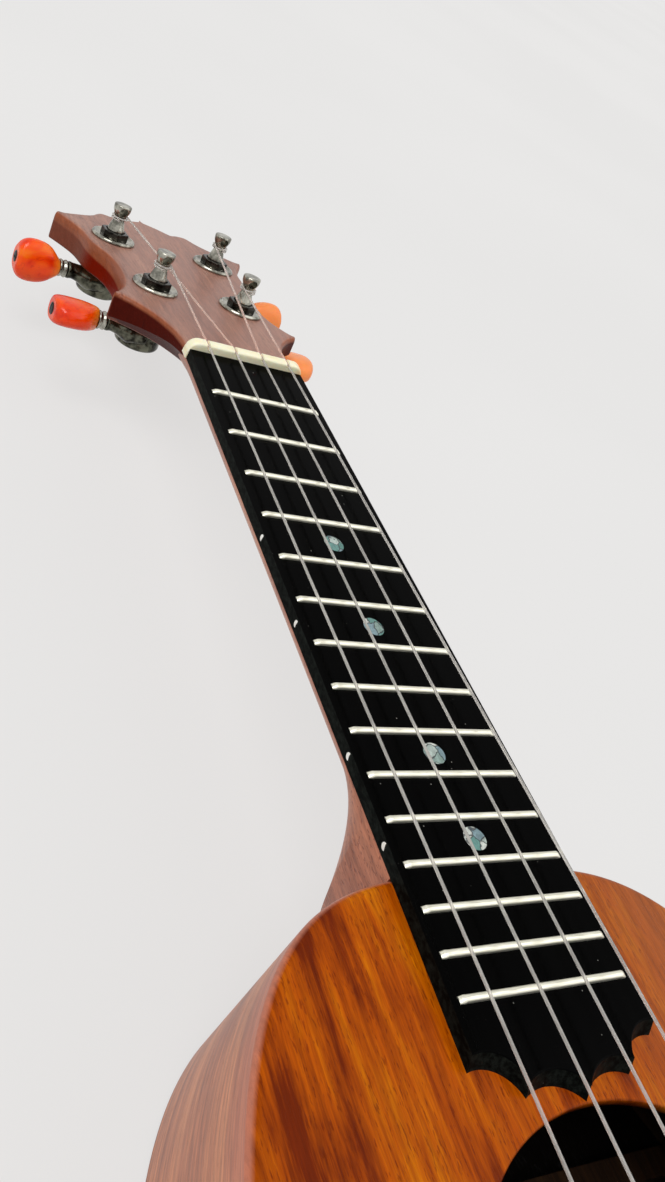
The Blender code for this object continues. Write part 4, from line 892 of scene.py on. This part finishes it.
def flare_wedge(side):
    """Cutter under the flare, 3 mm below the face at the nut and 8 mm (treble 6 mm) at the tip."""
    path = softened(FLARE, 8)
    along = ways_along(path)
    path = np.concatenate([path[:1] - 0.002 * along[:1], path, path[-1:] + 0.004 * along[-1:]])
    along = np.concatenate([along[:1], along, along[-1:]])
    rows = []
    for (x, y), (right, ahead) in zip(path, along):
        part = np.clip(y / SHOULDER_TIP[1], 0, 1)
        high = 0.0030 + (0.0051 if side < 0 else 0.0030) * part ** 1.3
        inset = 0.0110 - 0.0060 * part
        outer = (side * (x + ahead * 0.0005), y - right * 0.0005)
        inner = (side * (x - ahead * inset), y + right * inset)
        rows.append([(*outer, -high), (*outer, -0.012), (*inner, -0.012)])
    return placed(sheet(np.array(rows)), head_matrix)


head_plate = placed(slab(crown_loop(), -HEAD_THICK, 0.0, 0.0009, 0.0022, 7), head_matrix)
bores = [placed(turned([(0.0045, -0.013), (0.0045, 0.003)], 32), head_matrix @ put(x, along))
         for x, along in POSTS.values()]
shape = cut("headstock", [head_plate], [flare_wedge(1)], [flare_wedge(-1)], bores)
made = piece("headstock_plate", [shape], neck_wood, nodes=["neck"])
away = spots_of(made) - HEAD_ORIGIN
ahead = away @ HEAD_ALONG
# Depth and hollow place the painted shade of the edge and walls and the painted red reflection in
# the hollow.
note(made, depth=0.5 - 0.5 * (away @ HEAD_UP) / HEAD_THICK,
     hollow=np.clip((ahead - SHOULDER_TIP[1] + 0.0005) / 0.001, 0, 1)
     * (1 - 0.4 * np.clip((ahead - 0.068) / 0.014, 0, 1)))
print("crown outline:", len(crown_loop()), "points")

# %% [markdown]
# ## Fretboard
# The fretboard lies on the neck and runs on over the soundboard, where it ends in four scallops.
# Round arcs draw them, and their wall leans because its upper edge is moved towards the nut.

# %% Fretboard


def arc(first, last, bow, steps=20):
    """Points of a round arc from first to last that bows to its left, without the end."""
    first, last = np.array(first), np.array(last)
    chord = last - first
    left = np.array([-chord[1], chord[0]]) / np.linalg.norm(chord)
    radius = (chord @ chord / 4 + bow ** 2) / (2 * bow)
    share = np.linspace(0, 1, steps, endpoint=False)
    across = (share - 0.5) * np.linalg.norm(chord)
    rise = np.sqrt(radius ** 2 - across ** 2) - (radius - bow)
    return first + share[:, None] * chord + rise[:, None] * left


def board_shape():
    """Fretboard outline with scallops, rounded on top, its scalloped wall leaning to the nut."""
    corner, tip, mid = Y_NUT - 0.2112, Y_NUT - 0.2200, Y_NUT - 0.2173
    outer = board_half(corner)
    tips = [(-outer, corner), (-0.0134, mid), (0.0, tip), (0.0134, mid), (outer, corner)]
    loop = [(side * BOARD_HALF_AT_NUT, Y_NUT + BOARD_PAST_NUT) for side in (1, -1)]
    loop += [point for a, b in zip(tips, tips[1:]) for point in arc(a, b, 0.0024)] + [tips[-1]]
    points, faces = slab(loop, Z_TOP, Z_BOARD, 0.0, 0.0003)
    share = np.clip((points[:, 2] - Z_TOP) / (Z_BOARD - Z_TOP), 0, 1)
    points[:, 1] += np.where(points[:, 1] < corner + 0.003, 0.0018 * share, 0)
    return points, faces


piece("fretboard_ebony", [board_shape()], EBONY, nodes=["fretboard"])
print("fretboard half width at the join:", round(board_half(Y_JOIN), 4))

# %% [markdown]
# ## Inlays
# Four abalone dots lie in the face of the fretboard and four small white ones in its bass side.
# Each is a thin disc with a broken edge that stands a few hundredths of a millimetre proud.

# %% Face and side dots
for number, fret in enumerate(DOT_SPACES, start=1):
    y = (fret_y(fret) + fret_y(fret - 1)) / 2
    edge = put(-board_half(y), y, Z_BOARD - 0.0014, -math.pi / 2, "Y")
    for kind, radius, proud, deep, sides, spot, material in (
            ("face", 0.0029, 0.00004, -0.0007, 48, put(0, y, Z_BOARD), SHELL),
            ("side", 0.0010, 0.00003, -0.0006, 32, edge, DOT_WHITE)):
        disc = rounded([(0, proud), (radius, proud), (radius, deep), (0, deep)], 0.0001, 2)
        piece(f"{kind}_dot_{number}", [placed(turned(disc, sides), spot)], material)
print("inlays:", 2 * len(DOT_SPACES))

# %% [markdown]
# ## Frets
# Fret wire has a round crown, and its ends are filed to a slope so that they don't catch the hand.
# Six half rings make one: two at each end give the slope and the flare where the file stopped.

# %% Frets


def fret_shape(y):
    """Bar across the board, 1.05 mm * sin^0.7 high, falling to a fifth over its last millimetre."""
    turn = np.linspace(0, np.pi, 17)
    half = board_half(y) - 0.0017
    ends = ((0.0, 0.22, 0.95), (0.0010, 0.90, 1.08), (0.0014, 1.0, 1.0))
    return sheet(np.array([
        np.column_stack([np.full(17, side * (half - inset)), y + 0.00080 * wide * np.cos(turn),
                         Z_BOARD + 0.00105 * height * np.sin(turn) ** 0.7])
        for side, run in ((-1, ends), (1, ends[::-1])) for inset, height, wide in run]))


for number in range(1, FRETS + 1):
    piece(f"fret_crown_{number:02d}", [fret_shape(fret_y(number))], FRET_METAL,
          nodes=[f"fret_{number:02d}"], angle=50)
print("frets:", FRETS)

# %% [markdown]
# ## Nut
# The nut is a bar of bone with one groove for each string. Sections across it, closer together at
# the grooves, let its top dip by a circle under each string, and its shoulders are quarter
# circles.

# %% Nut


def string_x(index, y):
    """Sideways place of a string, which fans out from nut to saddle."""
    share = (Y_NUT - y) / SCALE_LENGTH
    return (index - 1.5) * (NUT_SPACING + (SADDLE_SPACING - NUT_SPACING) * share)


def nut_shape():
    """Bone bar: rounded section, quarter-circle shoulders and a round groove under each string."""
    half, shoulder = BOARD_HALF_AT_NUT + NUT_OVERHANG, 0.0034
    grooves = [string_x(index, Y_NUT) for index in range(4)]
    x = np.unique(np.concatenate([np.linspace(-half, half, 121)]
                                 + [at + np.linspace(-0.0009, 0.0009, 15) for at in grooves]))
    out = np.clip((np.abs(x) - (half - shoulder)) / shoulder, 0, 1)
    top = Z_BOARD + 0.0026 - shoulder * (1 - np.sqrt(1 - out ** 2))
    for at in grooves:
        away = np.abs(x - at)
        floor = Z_BOARD + NUT_ACTION - np.sqrt(np.maximum(0.00052 ** 2 - away ** 2, 0))
        top = np.where(away < 0.0005, np.minimum(top, floor), top)
    middle = Y_NUT + (NUT_THICK + BOARD_PAST_NUT) / 2
    flat = (NUT_THICK - BOARD_PAST_NUT) / 2
    turn = np.linspace(0, np.pi, 15)[:, None]
    y = np.sign(np.cos(turn)) * np.abs(np.cos(turn)) ** 0.45 * flat + 0 * top
    z = np.maximum(top - 0.0011 * (1 - np.sin(turn) ** 0.6), Z_TOP + 0.0001)
    foot = np.full((1, len(x)), flat)
    y, z = np.vstack([foot, y, -foot]) + middle, np.vstack([0 * foot + Z_TOP, z, 0 * foot + Z_TOP])
    return sheet(np.stack([x + 0 * y, y, z], axis=-1).transpose(1, 0, 2))


piece("nut_bone", [nut_shape()], BONE, nodes=["nut"], angle=60, even=False)
print("nut half width:", BOARD_HALF_AT_NUT + NUT_OVERHANG)

# %% [markdown]
# ## Posts and bushings
# The four tuners share one set of shapes, with Z up the post and X out along the shaft. A post is
# turned, with a wide head, a waist, a hole on its far side and a worm wheel on its foot. A dished
# washer and a hexagon hold it.

# %% Post and bushing
WHEEL_DROP = 0.0136
WHEEL_TEETH = 14
CENTRE = 0.0046


def gear():
    """Worm wheel: its rim goes in and out between two radii, once for every tooth."""
    turn = around(12 * WHEEL_TEETH)
    wave = np.clip(np.cos(WHEEL_TEETH * (turn - np.pi / 2)) * 1.6, -1, 1)
    return slab(circle(0.0031 + 0.00035 * wave, turn), -0.0144, -0.0128)


def post_shape():
    """String post: a wide head, a waist that flares to its foot, and the worm wheel below."""
    profile = rounded([(0, 0.0125), (0.0030, 0.0125), (0.0031, 0.0120), (0.0030, 0.0106),
                       (0.0023, 0.0090), (0.0019, 0.0079), (0.0020, 0.0068), (0.0026, 0.0048),
                       (0.0030, 0.0037), (0.0030, -0.0120), (0.0019, -0.0130), (0.0019, -0.0150),
                       (0, -0.0150)], 0.0005, 3)
    hole = placed(turned([(0.0015, -0.006), (0.0015, 0.0014)], 24),
                  put(0, 0, 0.0104, math.pi / 2, "X"))
    return [cut("post", [turned(profile, 48)], [hole]), gear()]


def bushing_shape():
    """Dished washer with a raised lip, and the threaded barrel in the wood."""
    washer = rounded([(0.0033, -0.0085), (0.0033, 0.0026), (0.0042, 0.0026), (0.0044, 0.0008),
                      (0.0060, 0.0007), (0.0068, 0.0013), (0.0074, 0.0012), (0.0078, 0.0007),
                      (0.0078, 0.00005), (0.0042, 0.00005), (0.0042, -0.0085), (0.0033, -0.0085)],
                     0.0002, 2)
    return [turned(washer, 72)]


def hexagon_shape():
    """Hexagon whose six flats lie 4.4 mm from the middle, its corners cut off at 4.95 mm."""
    turn = around(96)
    flats = 0.0044 / np.maximum(np.cos((turn + np.pi / 6) % (np.pi / 3) - np.pi / 6), 0.5)
    nut = slab(circle(np.minimum(flats, 0.00495), turn), 0.0008, 0.0031, 0.0, 0.0003)
    return [cut("hexagon", [nut], [turned([(0.0034, 0.0), (0.0034, 0.006)], 48)])]


shapes = {"post": post_shape(), "bushing": bushing_shape(), "hexagon": hexagon_shape()}
print("post faces:", sum(len(faces) for _, faces in shapes["post"]))

# %% [markdown]
# ## Gearboxes
# A round cast box hangs under the headstock, and a short arm carries the shaft out of it. They are
# hollow where wheel, worm, post and shaft turn, because the tuners really move in this model.

# %% Gearbox


def housing_shape():
    """Round gearbox and tapered arm, hollow where the wheel, worm, post and shaft turn."""
    quarter = np.linspace(0, np.pi / 2, 9)
    box = [(0, -0.0103), *[(0.0071 + 0.0005 * math.sin(t), -0.0108 + 0.0005 * math.cos(t))
                           for t in quarter[::2]],
           *[(0.0058 + 0.0018 * math.cos(t), -0.0190 - 0.0018 * math.sin(t)) for t in quarter],
           (0, -0.0208)]
    profile = rounded([(0, 0.0142), (0.0028, 0.0142), (0.0030, 0.0133), (0.0027, 0.0124),
                       (0.0029, 0.0100), (0.0042, 0.0060), (0.0042, 0.0), (0, 0.0)], 0.0006, 3)
    arm, faces = turned(profile, 48)
    arm[:, 0] += np.clip((0.0115 - arm[:, 2]) / 0.0055, 0, 1) * 0.0011
    over = put(0, CENTRE, -WHEEL_DROP, math.pi / 2, "Y")
    wheel_room = turned([(0.00385, -0.0156), (0.00385, -0.0124)], 40)
    throat = turned([(0.0033, -0.0126), (0.0033, -0.0080)], 40)
    lane = placed(turned([(0.0022, -0.0044), (0.0022, 0.0044)], 32), over)
    bore = placed(turned([(0.0016, 0.0), (0.0016, 0.0165)], 32), over)
    return [cut("housing", [turned(box, 72)], [wheel_room], [throat], [lane]),
            cut("housing", [placed((arm, faces), over)], [bore], [lane])]


shapes["housing"] = housing_shape()
print("gearbox faces:", sum(len(faces) for _, faces in shapes["housing"]))

# %% [markdown]
# ## Worm shafts
# The shaft carries a worm inside the box and two bright rings at the collar outside it. The worm
# is a ribbon wound round the shaft: one turn moves the wheel on by one of its teeth.

# %% Worm shaft


def shaft_shape():
    """Worm shaft along X with two bright rings at the collar and a stem that holds the button."""
    profile = rounded([(0, 0.0250), (0.0013, 0.0250), (0.0013, 0.0172), (0.0030, 0.0171),
                       (0.0031, 0.0165), (0.0026, 0.0158), (0.0030, 0.0151), (0.0031, 0.0147),
                       (0.0029, 0.0145), (0.0013, 0.0145), (0.0013, 0.0033), (0.00095, 0.0033),
                       (0.00095, -0.0033), (0.0013, -0.0033), (0.0013, -0.0041), (0, -0.0041)],
                      0.00025, 3)
    lead = 2 * math.pi * 0.0031 / WHEEL_TEETH
    half_turn = 0.0050 / lead * np.pi
    rows = []
    for angle in np.linspace(-half_turn, half_turn, 150):
        crest = 0.0008 + 0.0010 * np.clip(half_turn - abs(angle), 0.1, 1)
        a = angle + np.pi
        rows.append([(r * math.cos(a), r * math.sin(a), lead * a / (2 * np.pi) + o)
                     for r, o in ((0.0008, -0.00034), (crest, -0.00008), (crest, 0.00008),
                                  (0.0008, 0.00034))])
    return [turned(profile, 48), sheet(np.array(rows))]


shapes["shaft"] = shaft_shape()
print("worm points:", len(shapes["shaft"][1][0]))

# %% [markdown]
# ## Buttons
# Rounded-oval rings along the shaft draw a cast button: they swell from the collar, stay full and
# close over a flat tip with a black screw. The mesh notes how near the collar and how low each
# vertex lies.

# %% Button and screw
BUTTON_FOOT = 0.0174
BUTTON_LONG = 0.0147
BUTTON_WIDE = 0.0075
BUTTON_THICK = 0.0041


def button_shape(upright):
    """Oval button: rounded-oval rings that swell from the collar, then close over a flat tip."""
    shares = [0, 0.03, 0.08, 0.20, 0.32, 0.44, 0.60, 0.74, 0.84, 0.91, 0.96, 0.99, 1.0]
    wides = [0.38, 0.44, 0.53, 0.76, 0.89, 0.96, 1.0, 0.98, 0.92, 0.82, 0.70, 0.58, 0.50]
    thicks = [0.88, 0.93, 0.96, 0.99, 1.0, 1.0, 1.0, 1.0, 1.0, 0.98, 0.94, 0.87, 0.80]
    dense = np.linspace(0, 1, 45)
    wide = BUTTON_WIDE * np.interp(dense, shares, wides)
    thick = BUTTON_THICK * np.interp(dense, shares, thicks)
    for size in (wide, thick, wide, thick):
        size[1:-1] = (size[:-2] + 2 * size[1:-1] + size[2:]) / 4
    turn = around(48)
    a, b = [np.sign(v) * np.abs(v) ** 0.85 for v in (np.cos(turn), np.sin(turn))]
    x = np.repeat((BUTTON_FOOT + BUTTON_LONG * dense)[:, None], 48, axis=1)
    w, t = wide[:, None] * a, thick[:, None] * b
    rows = np.stack([x, -t, w] if upright else [x, w, t], axis=-1)
    down = -rows[:, :, 2].ravel() / (BUTTON_WIDE if upright else BUTTON_THICK)
    # Low is 0 on the upper half and grows towards the lower side, where the material paints shade.
    return sheet(rows), {"low": np.clip(down * 0.9 - 0.1, 0, 0.75),
                         "near": np.repeat(np.clip(1 - dense / 0.22, 0, 1) * 0.6, 48)}


def screw_shape():
    """Round black screw with a domed head and its slot, seated on the button's tip."""
    dome = rounded([(0, 0.00045), (0.0012, 0.00038), (0.0021, 0.0001), (0.0023, -0.0008),
                    (0, -0.0008)], 0.0004, 4)
    slot = [[(x * 0.00025, y * 0.003, z) for x, y in ((-1, -1), (1, -1), (1, 1), (-1, 1))]
            for z in (0.0001, 0.002)]
    return cut("screw", [turned(dome, 40)], [sheet(np.array(slot))])


buttons = {upright: button_shape(upright) for upright in (True, False)}
screw = screw_shape()
print("button points:", len(buttons[True][0][0]))

# %% [markdown]
# ## Place the four tuners
# Numbers run from the nut up the bass side and back down the treble side. Each piece rides on the
# body that it turns with, so that a pose of the model moves it.

# %% Tuners in their places
ALONG_X = put(angle=math.pi / 2, axis="Y")
for number, (x, along) in POSTS.items():
    tuner = f"tuner_{number}_"
    side = put(x, along, 0, math.pi) if x < 0 else put(x, along) @ np.diag((1, -1, 1, 1))
    base = head_matrix @ side
    axle = base @ put(0, CENTRE, -WHEEL_DROP)
    post, worm = tuner + "post_body", tuner + "shaft_body"
    for name, body, material, matrix in (
            ("post", post, POST_METAL, base), ("bushing", "instrument", POST_METAL, base),
            ("hexagon", "instrument", SHADED_HEX_METAL, base), ("housing", "instrument", BOX_METAL, base),
            ("shaft", worm, POST_METAL, axle @ ALONG_X)):
        piece(f"{tuner}{name}_metal", [placed(shape, matrix) for shape in shapes[name]], material,
              body, [tuner + name.replace("hexagon", "bushing")], angle=40)
    upright = number in (2, 3)
    shape, notes = buttons[upright]
    piece(tuner + "button_plastic", [placed(shape, axle)], BUTTON, worm, [tuner + "button"],
          angle=60, **notes)
    tip = axle @ put(BUTTON_FOOT + BUTTON_LONG) @ ALONG_X @ put(angle=0 if upright else math.pi / 2)
    piece(tuner + "screw", [placed(screw, tip)], BLACK, worm)
print("tuners:", len(POSTS))

# %% [markdown]
# ## Strings
# Each string runs from the tie block over saddle and nut and winds round its post. It meets the
# winding circle where it touches it, on the side of the headstock's middle.

# %% Strings
STRING_RADIUS = 0.00035
WINDING_RADIUS = 0.00255
WINDING_PITCH = 0.00085
WINDINGS = 1.75


def string_path(index):
    """Route of a string: two bends at the bridge, a straight run, and a helix round its post."""
    route = [np.array((string_x(index, Y_SADDLE), Y_SADDLE + y, z)) for y, z in (
        (-0.0155, Z_TOP + 0.0049), (-0.00565, Z_TOP + 0.0049), (-0.0018, Z_BOARD + 0.0057),
        (0.0, Z_BOARD + 0.0060))]
    nut = np.array((string_x(index, Y_NUT), Y_NUT, Z_BOARD + NUT_ACTION))
    route += [route[-1] + (nut - route[-1]) * share for share in np.linspace(0, 1, 20)[1:]]
    route.append(nut + (0, NUT_THICK, -0.0002))
    x, along = POSTS[index + 1]
    side = math.copysign(1, x)
    lean = math.atan2(route[-1][0] - x + side * WINDING_RADIUS, along)
    for turn in np.linspace(0, WINDINGS * 2 * np.pi, 60):
        angle = (0 if side < 0 else np.pi) - side * turn - lean
        rise = 0.0079 + WINDING_PITCH * (WINDINGS / 2 - turn / (2 * np.pi))
        route.append(HEAD_ORIGIN + head_matrix[:3, :3] @ (x + WINDING_RADIUS * math.cos(angle),
                                                          along + WINDING_RADIUS * math.sin(angle),
                                                          rise))
    return route


for index in range(4):
    made = piece(f"string_{index + 1}_nylon", [tube(string_path(index), STRING_RADIUS, 10)], NYLON,
                 nodes=[f"string_{index + 1}"], angle=60, even=False)
    spots = spots_of(made)
    wound = np.linalg.norm((spots - spots[-1])[:, :2], axis=1) < 0.0062
    # Past the nut, away from the winding, near grows to 1 for the painted pink.
    note(made, near=np.where(wound, 0, np.clip((spots[:, 1] - Y_NUT) / 0.004, 0, 1)))
print("strings: 4")

# %% [markdown]
# ## The pieces that keep their CAD shape
# The bridge, the saddle and everything inside the soundbox keep their CAD meshes and get wood and
# bone finishes; the wood inside is painted nearly black as painted shade. The two that show get
# their edges eased by a bevel, as sandpaper would.

# %% Dress the remaining CAD nodes
inside = ["head_block", "tail_block", "bridge_plate"]
for plate_name in ("soundboard", "back"):
    inside += [f"{end}_{plate_name}_brace" for end in ("upper", "lower")]
    inside += [f"{plate_name}_lining_{side}" for side in ("bass", "treble")]
for name, material in {**dict.fromkeys(inside, shaded_inner_wood), "bridge": bridge_wood,
                       "saddle": BONE}.items():
    node = frame["nodes"][name]
    node.data.materials.clear()
    node.data.materials.append(material)
for name, width in (("bridge", 0.0006), ("saddle", 0.0003)):
    node = frame["nodes"][name]
    node.modifiers.new("weld", "WELD").merge_threshold = 0.00001
    bevel = node.modifiers.new("eased", "BEVEL")
    bevel.width, bevel.segments = width, 3
    bevel.limit_method, bevel.angle_limit = "ANGLE", math.radians(35)
print("dressed CAD nodes:", len(inside) + 2)

# %% [markdown]
# ## Stage and light
# The instrument lies on a pale floor that runs past the picture. Most of what the camera sees of
# it is its own pale colour, and the rest carries the soft shadow. One wide sun lights from above
# the bass side, a second fills in, and an even world lights the rest.

# %% Stage and lamps


def seen(tree):
    """1 on rays of the camera, of a reflection or through something clear, and 0 on others."""
    share = 0.0
    for kind in ("Is Camera Ray", "Is Glossy Ray", "Is Transmission Ray"):
        share = add(tree, "Math", {0: add(tree, "LightPath", out=kind), 1: share},
                    operation="MAXIMUM")
    return share


def stage():
    """Pale floor: 82 parts of what is seen of it are its own colour and 18 the light on it."""
    material, tree, where = start("floor_pale")
    mottle = add(tree, "ValToRGB", {0: streaks(tree, where, (3, 3, 3))},
                 stops=[(0.3, "#E7E6E5"), (0.7, "#E9E8E7")])
    shader = tree.nodes["Principled BSDF"]
    feed(tree, shader, {"Base Color": mottle, "Roughness": 0.9, "Specular IOR Level": 0.1})
    share = add(tree, "Math", {0: seen(tree), 1: 0.82}, operation="MULTIPLY")
    glow = add(tree, "Emission", {"Color": mottle, "Strength": 1.0})
    both = add(tree, "MixShader", {0: share, 1: shader.outputs[0], 2: glow})
    feed(tree, tree.nodes["Material Output"], {"Surface": both})
    far, below = 40.0, -0.0004
    corners = [(x * far, y * far, below) for x, y in ((-1, -1), (1, -1), (1, 1), (-1, 1))]
    mesh = bpy.data.meshes.new("floor")
    mesh.from_pydata(corners, [], [(0, 1, 2, 3)])
    mesh.materials.append(material)
    floor = in_scene("floor", mesh)


def sun(name, towards, strength, angle):
    """Sun lamp that shines along a direction, with a wide disc for soft shadows."""
    lamp = bpy.data.lights.new(name, "SUN")
    lamp.energy = strength
    lamp.angle = math.radians(angle)
    made = in_scene(name, lamp)
    made.rotation_mode = "QUATERNION"
    made.rotation_quaternion = Vector(towards).to_track_quat("-Z", "Y")


def world():
    """Even world that lights the object, seen in its own pale tone past the floor's edge."""
    made = bpy.data.worlds.new("studio")
    made.use_nodes = True
    tree = made.node_tree
    tree.nodes.clear()
    light = add(tree, "Background", {"Color": "#FFFFFF", "Strength": 0.45})
    shown = add(tree, "Background", {"Color": "#E8E7E6", "Strength": 1.0})
    both = add(tree, "MixShader", {0: seen(tree), 1: light, 2: shown})
    add(tree, "OutputWorld", {"Surface": both})
    bpy.context.scene.world = made


stage()
world()
sun("key", (0.45, 0.25, -0.86), 1.5, 35)
sun("fill", (-0.6, 0.3, -0.75), 0.6, 60)
print("stage set")

# %% [markdown]
# ## Camera
# The photograph was taken from close by, above the bass side of the body, looking up the neck. The
# camera was found by matching the frets and the corners of the fretboard and the headstock.

# %% Camera
camera = bpy.data.cameras.new("camera")
camera.sensor_width, camera.lens = 36.0, 32.84
camera.shift_x, camera.shift_y = 0.0022, -0.0222
camera.clip_start = 0.01
forward = Vector((0.5539, 0.6241, -0.5511)).normalized()
upward = Vector((-0.1022, 0.7078, 0.6990))
upward = (upward - forward * upward.dot(forward)).normalized()
pose = Matrix((forward.cross(upward), upward, -forward)).transposed().to_4x4()
pose.translation = (-0.1557, 0.0340, 0.2026)
eye = in_scene("camera", camera)
eye.matrix_world = pose
bpy.context.scene.camera = eye
bpy.context.scene.view_settings.view_transform = "Standard"
print("camera at", [round(v, 3) for v in pose.translation])

# %% [markdown]
# ## Finish
# The dressed instrument must fill the same box as the CAD model. The last step brings the scene up
# to date.

# %% Finish the scene
bpy.context.view_layer.update()
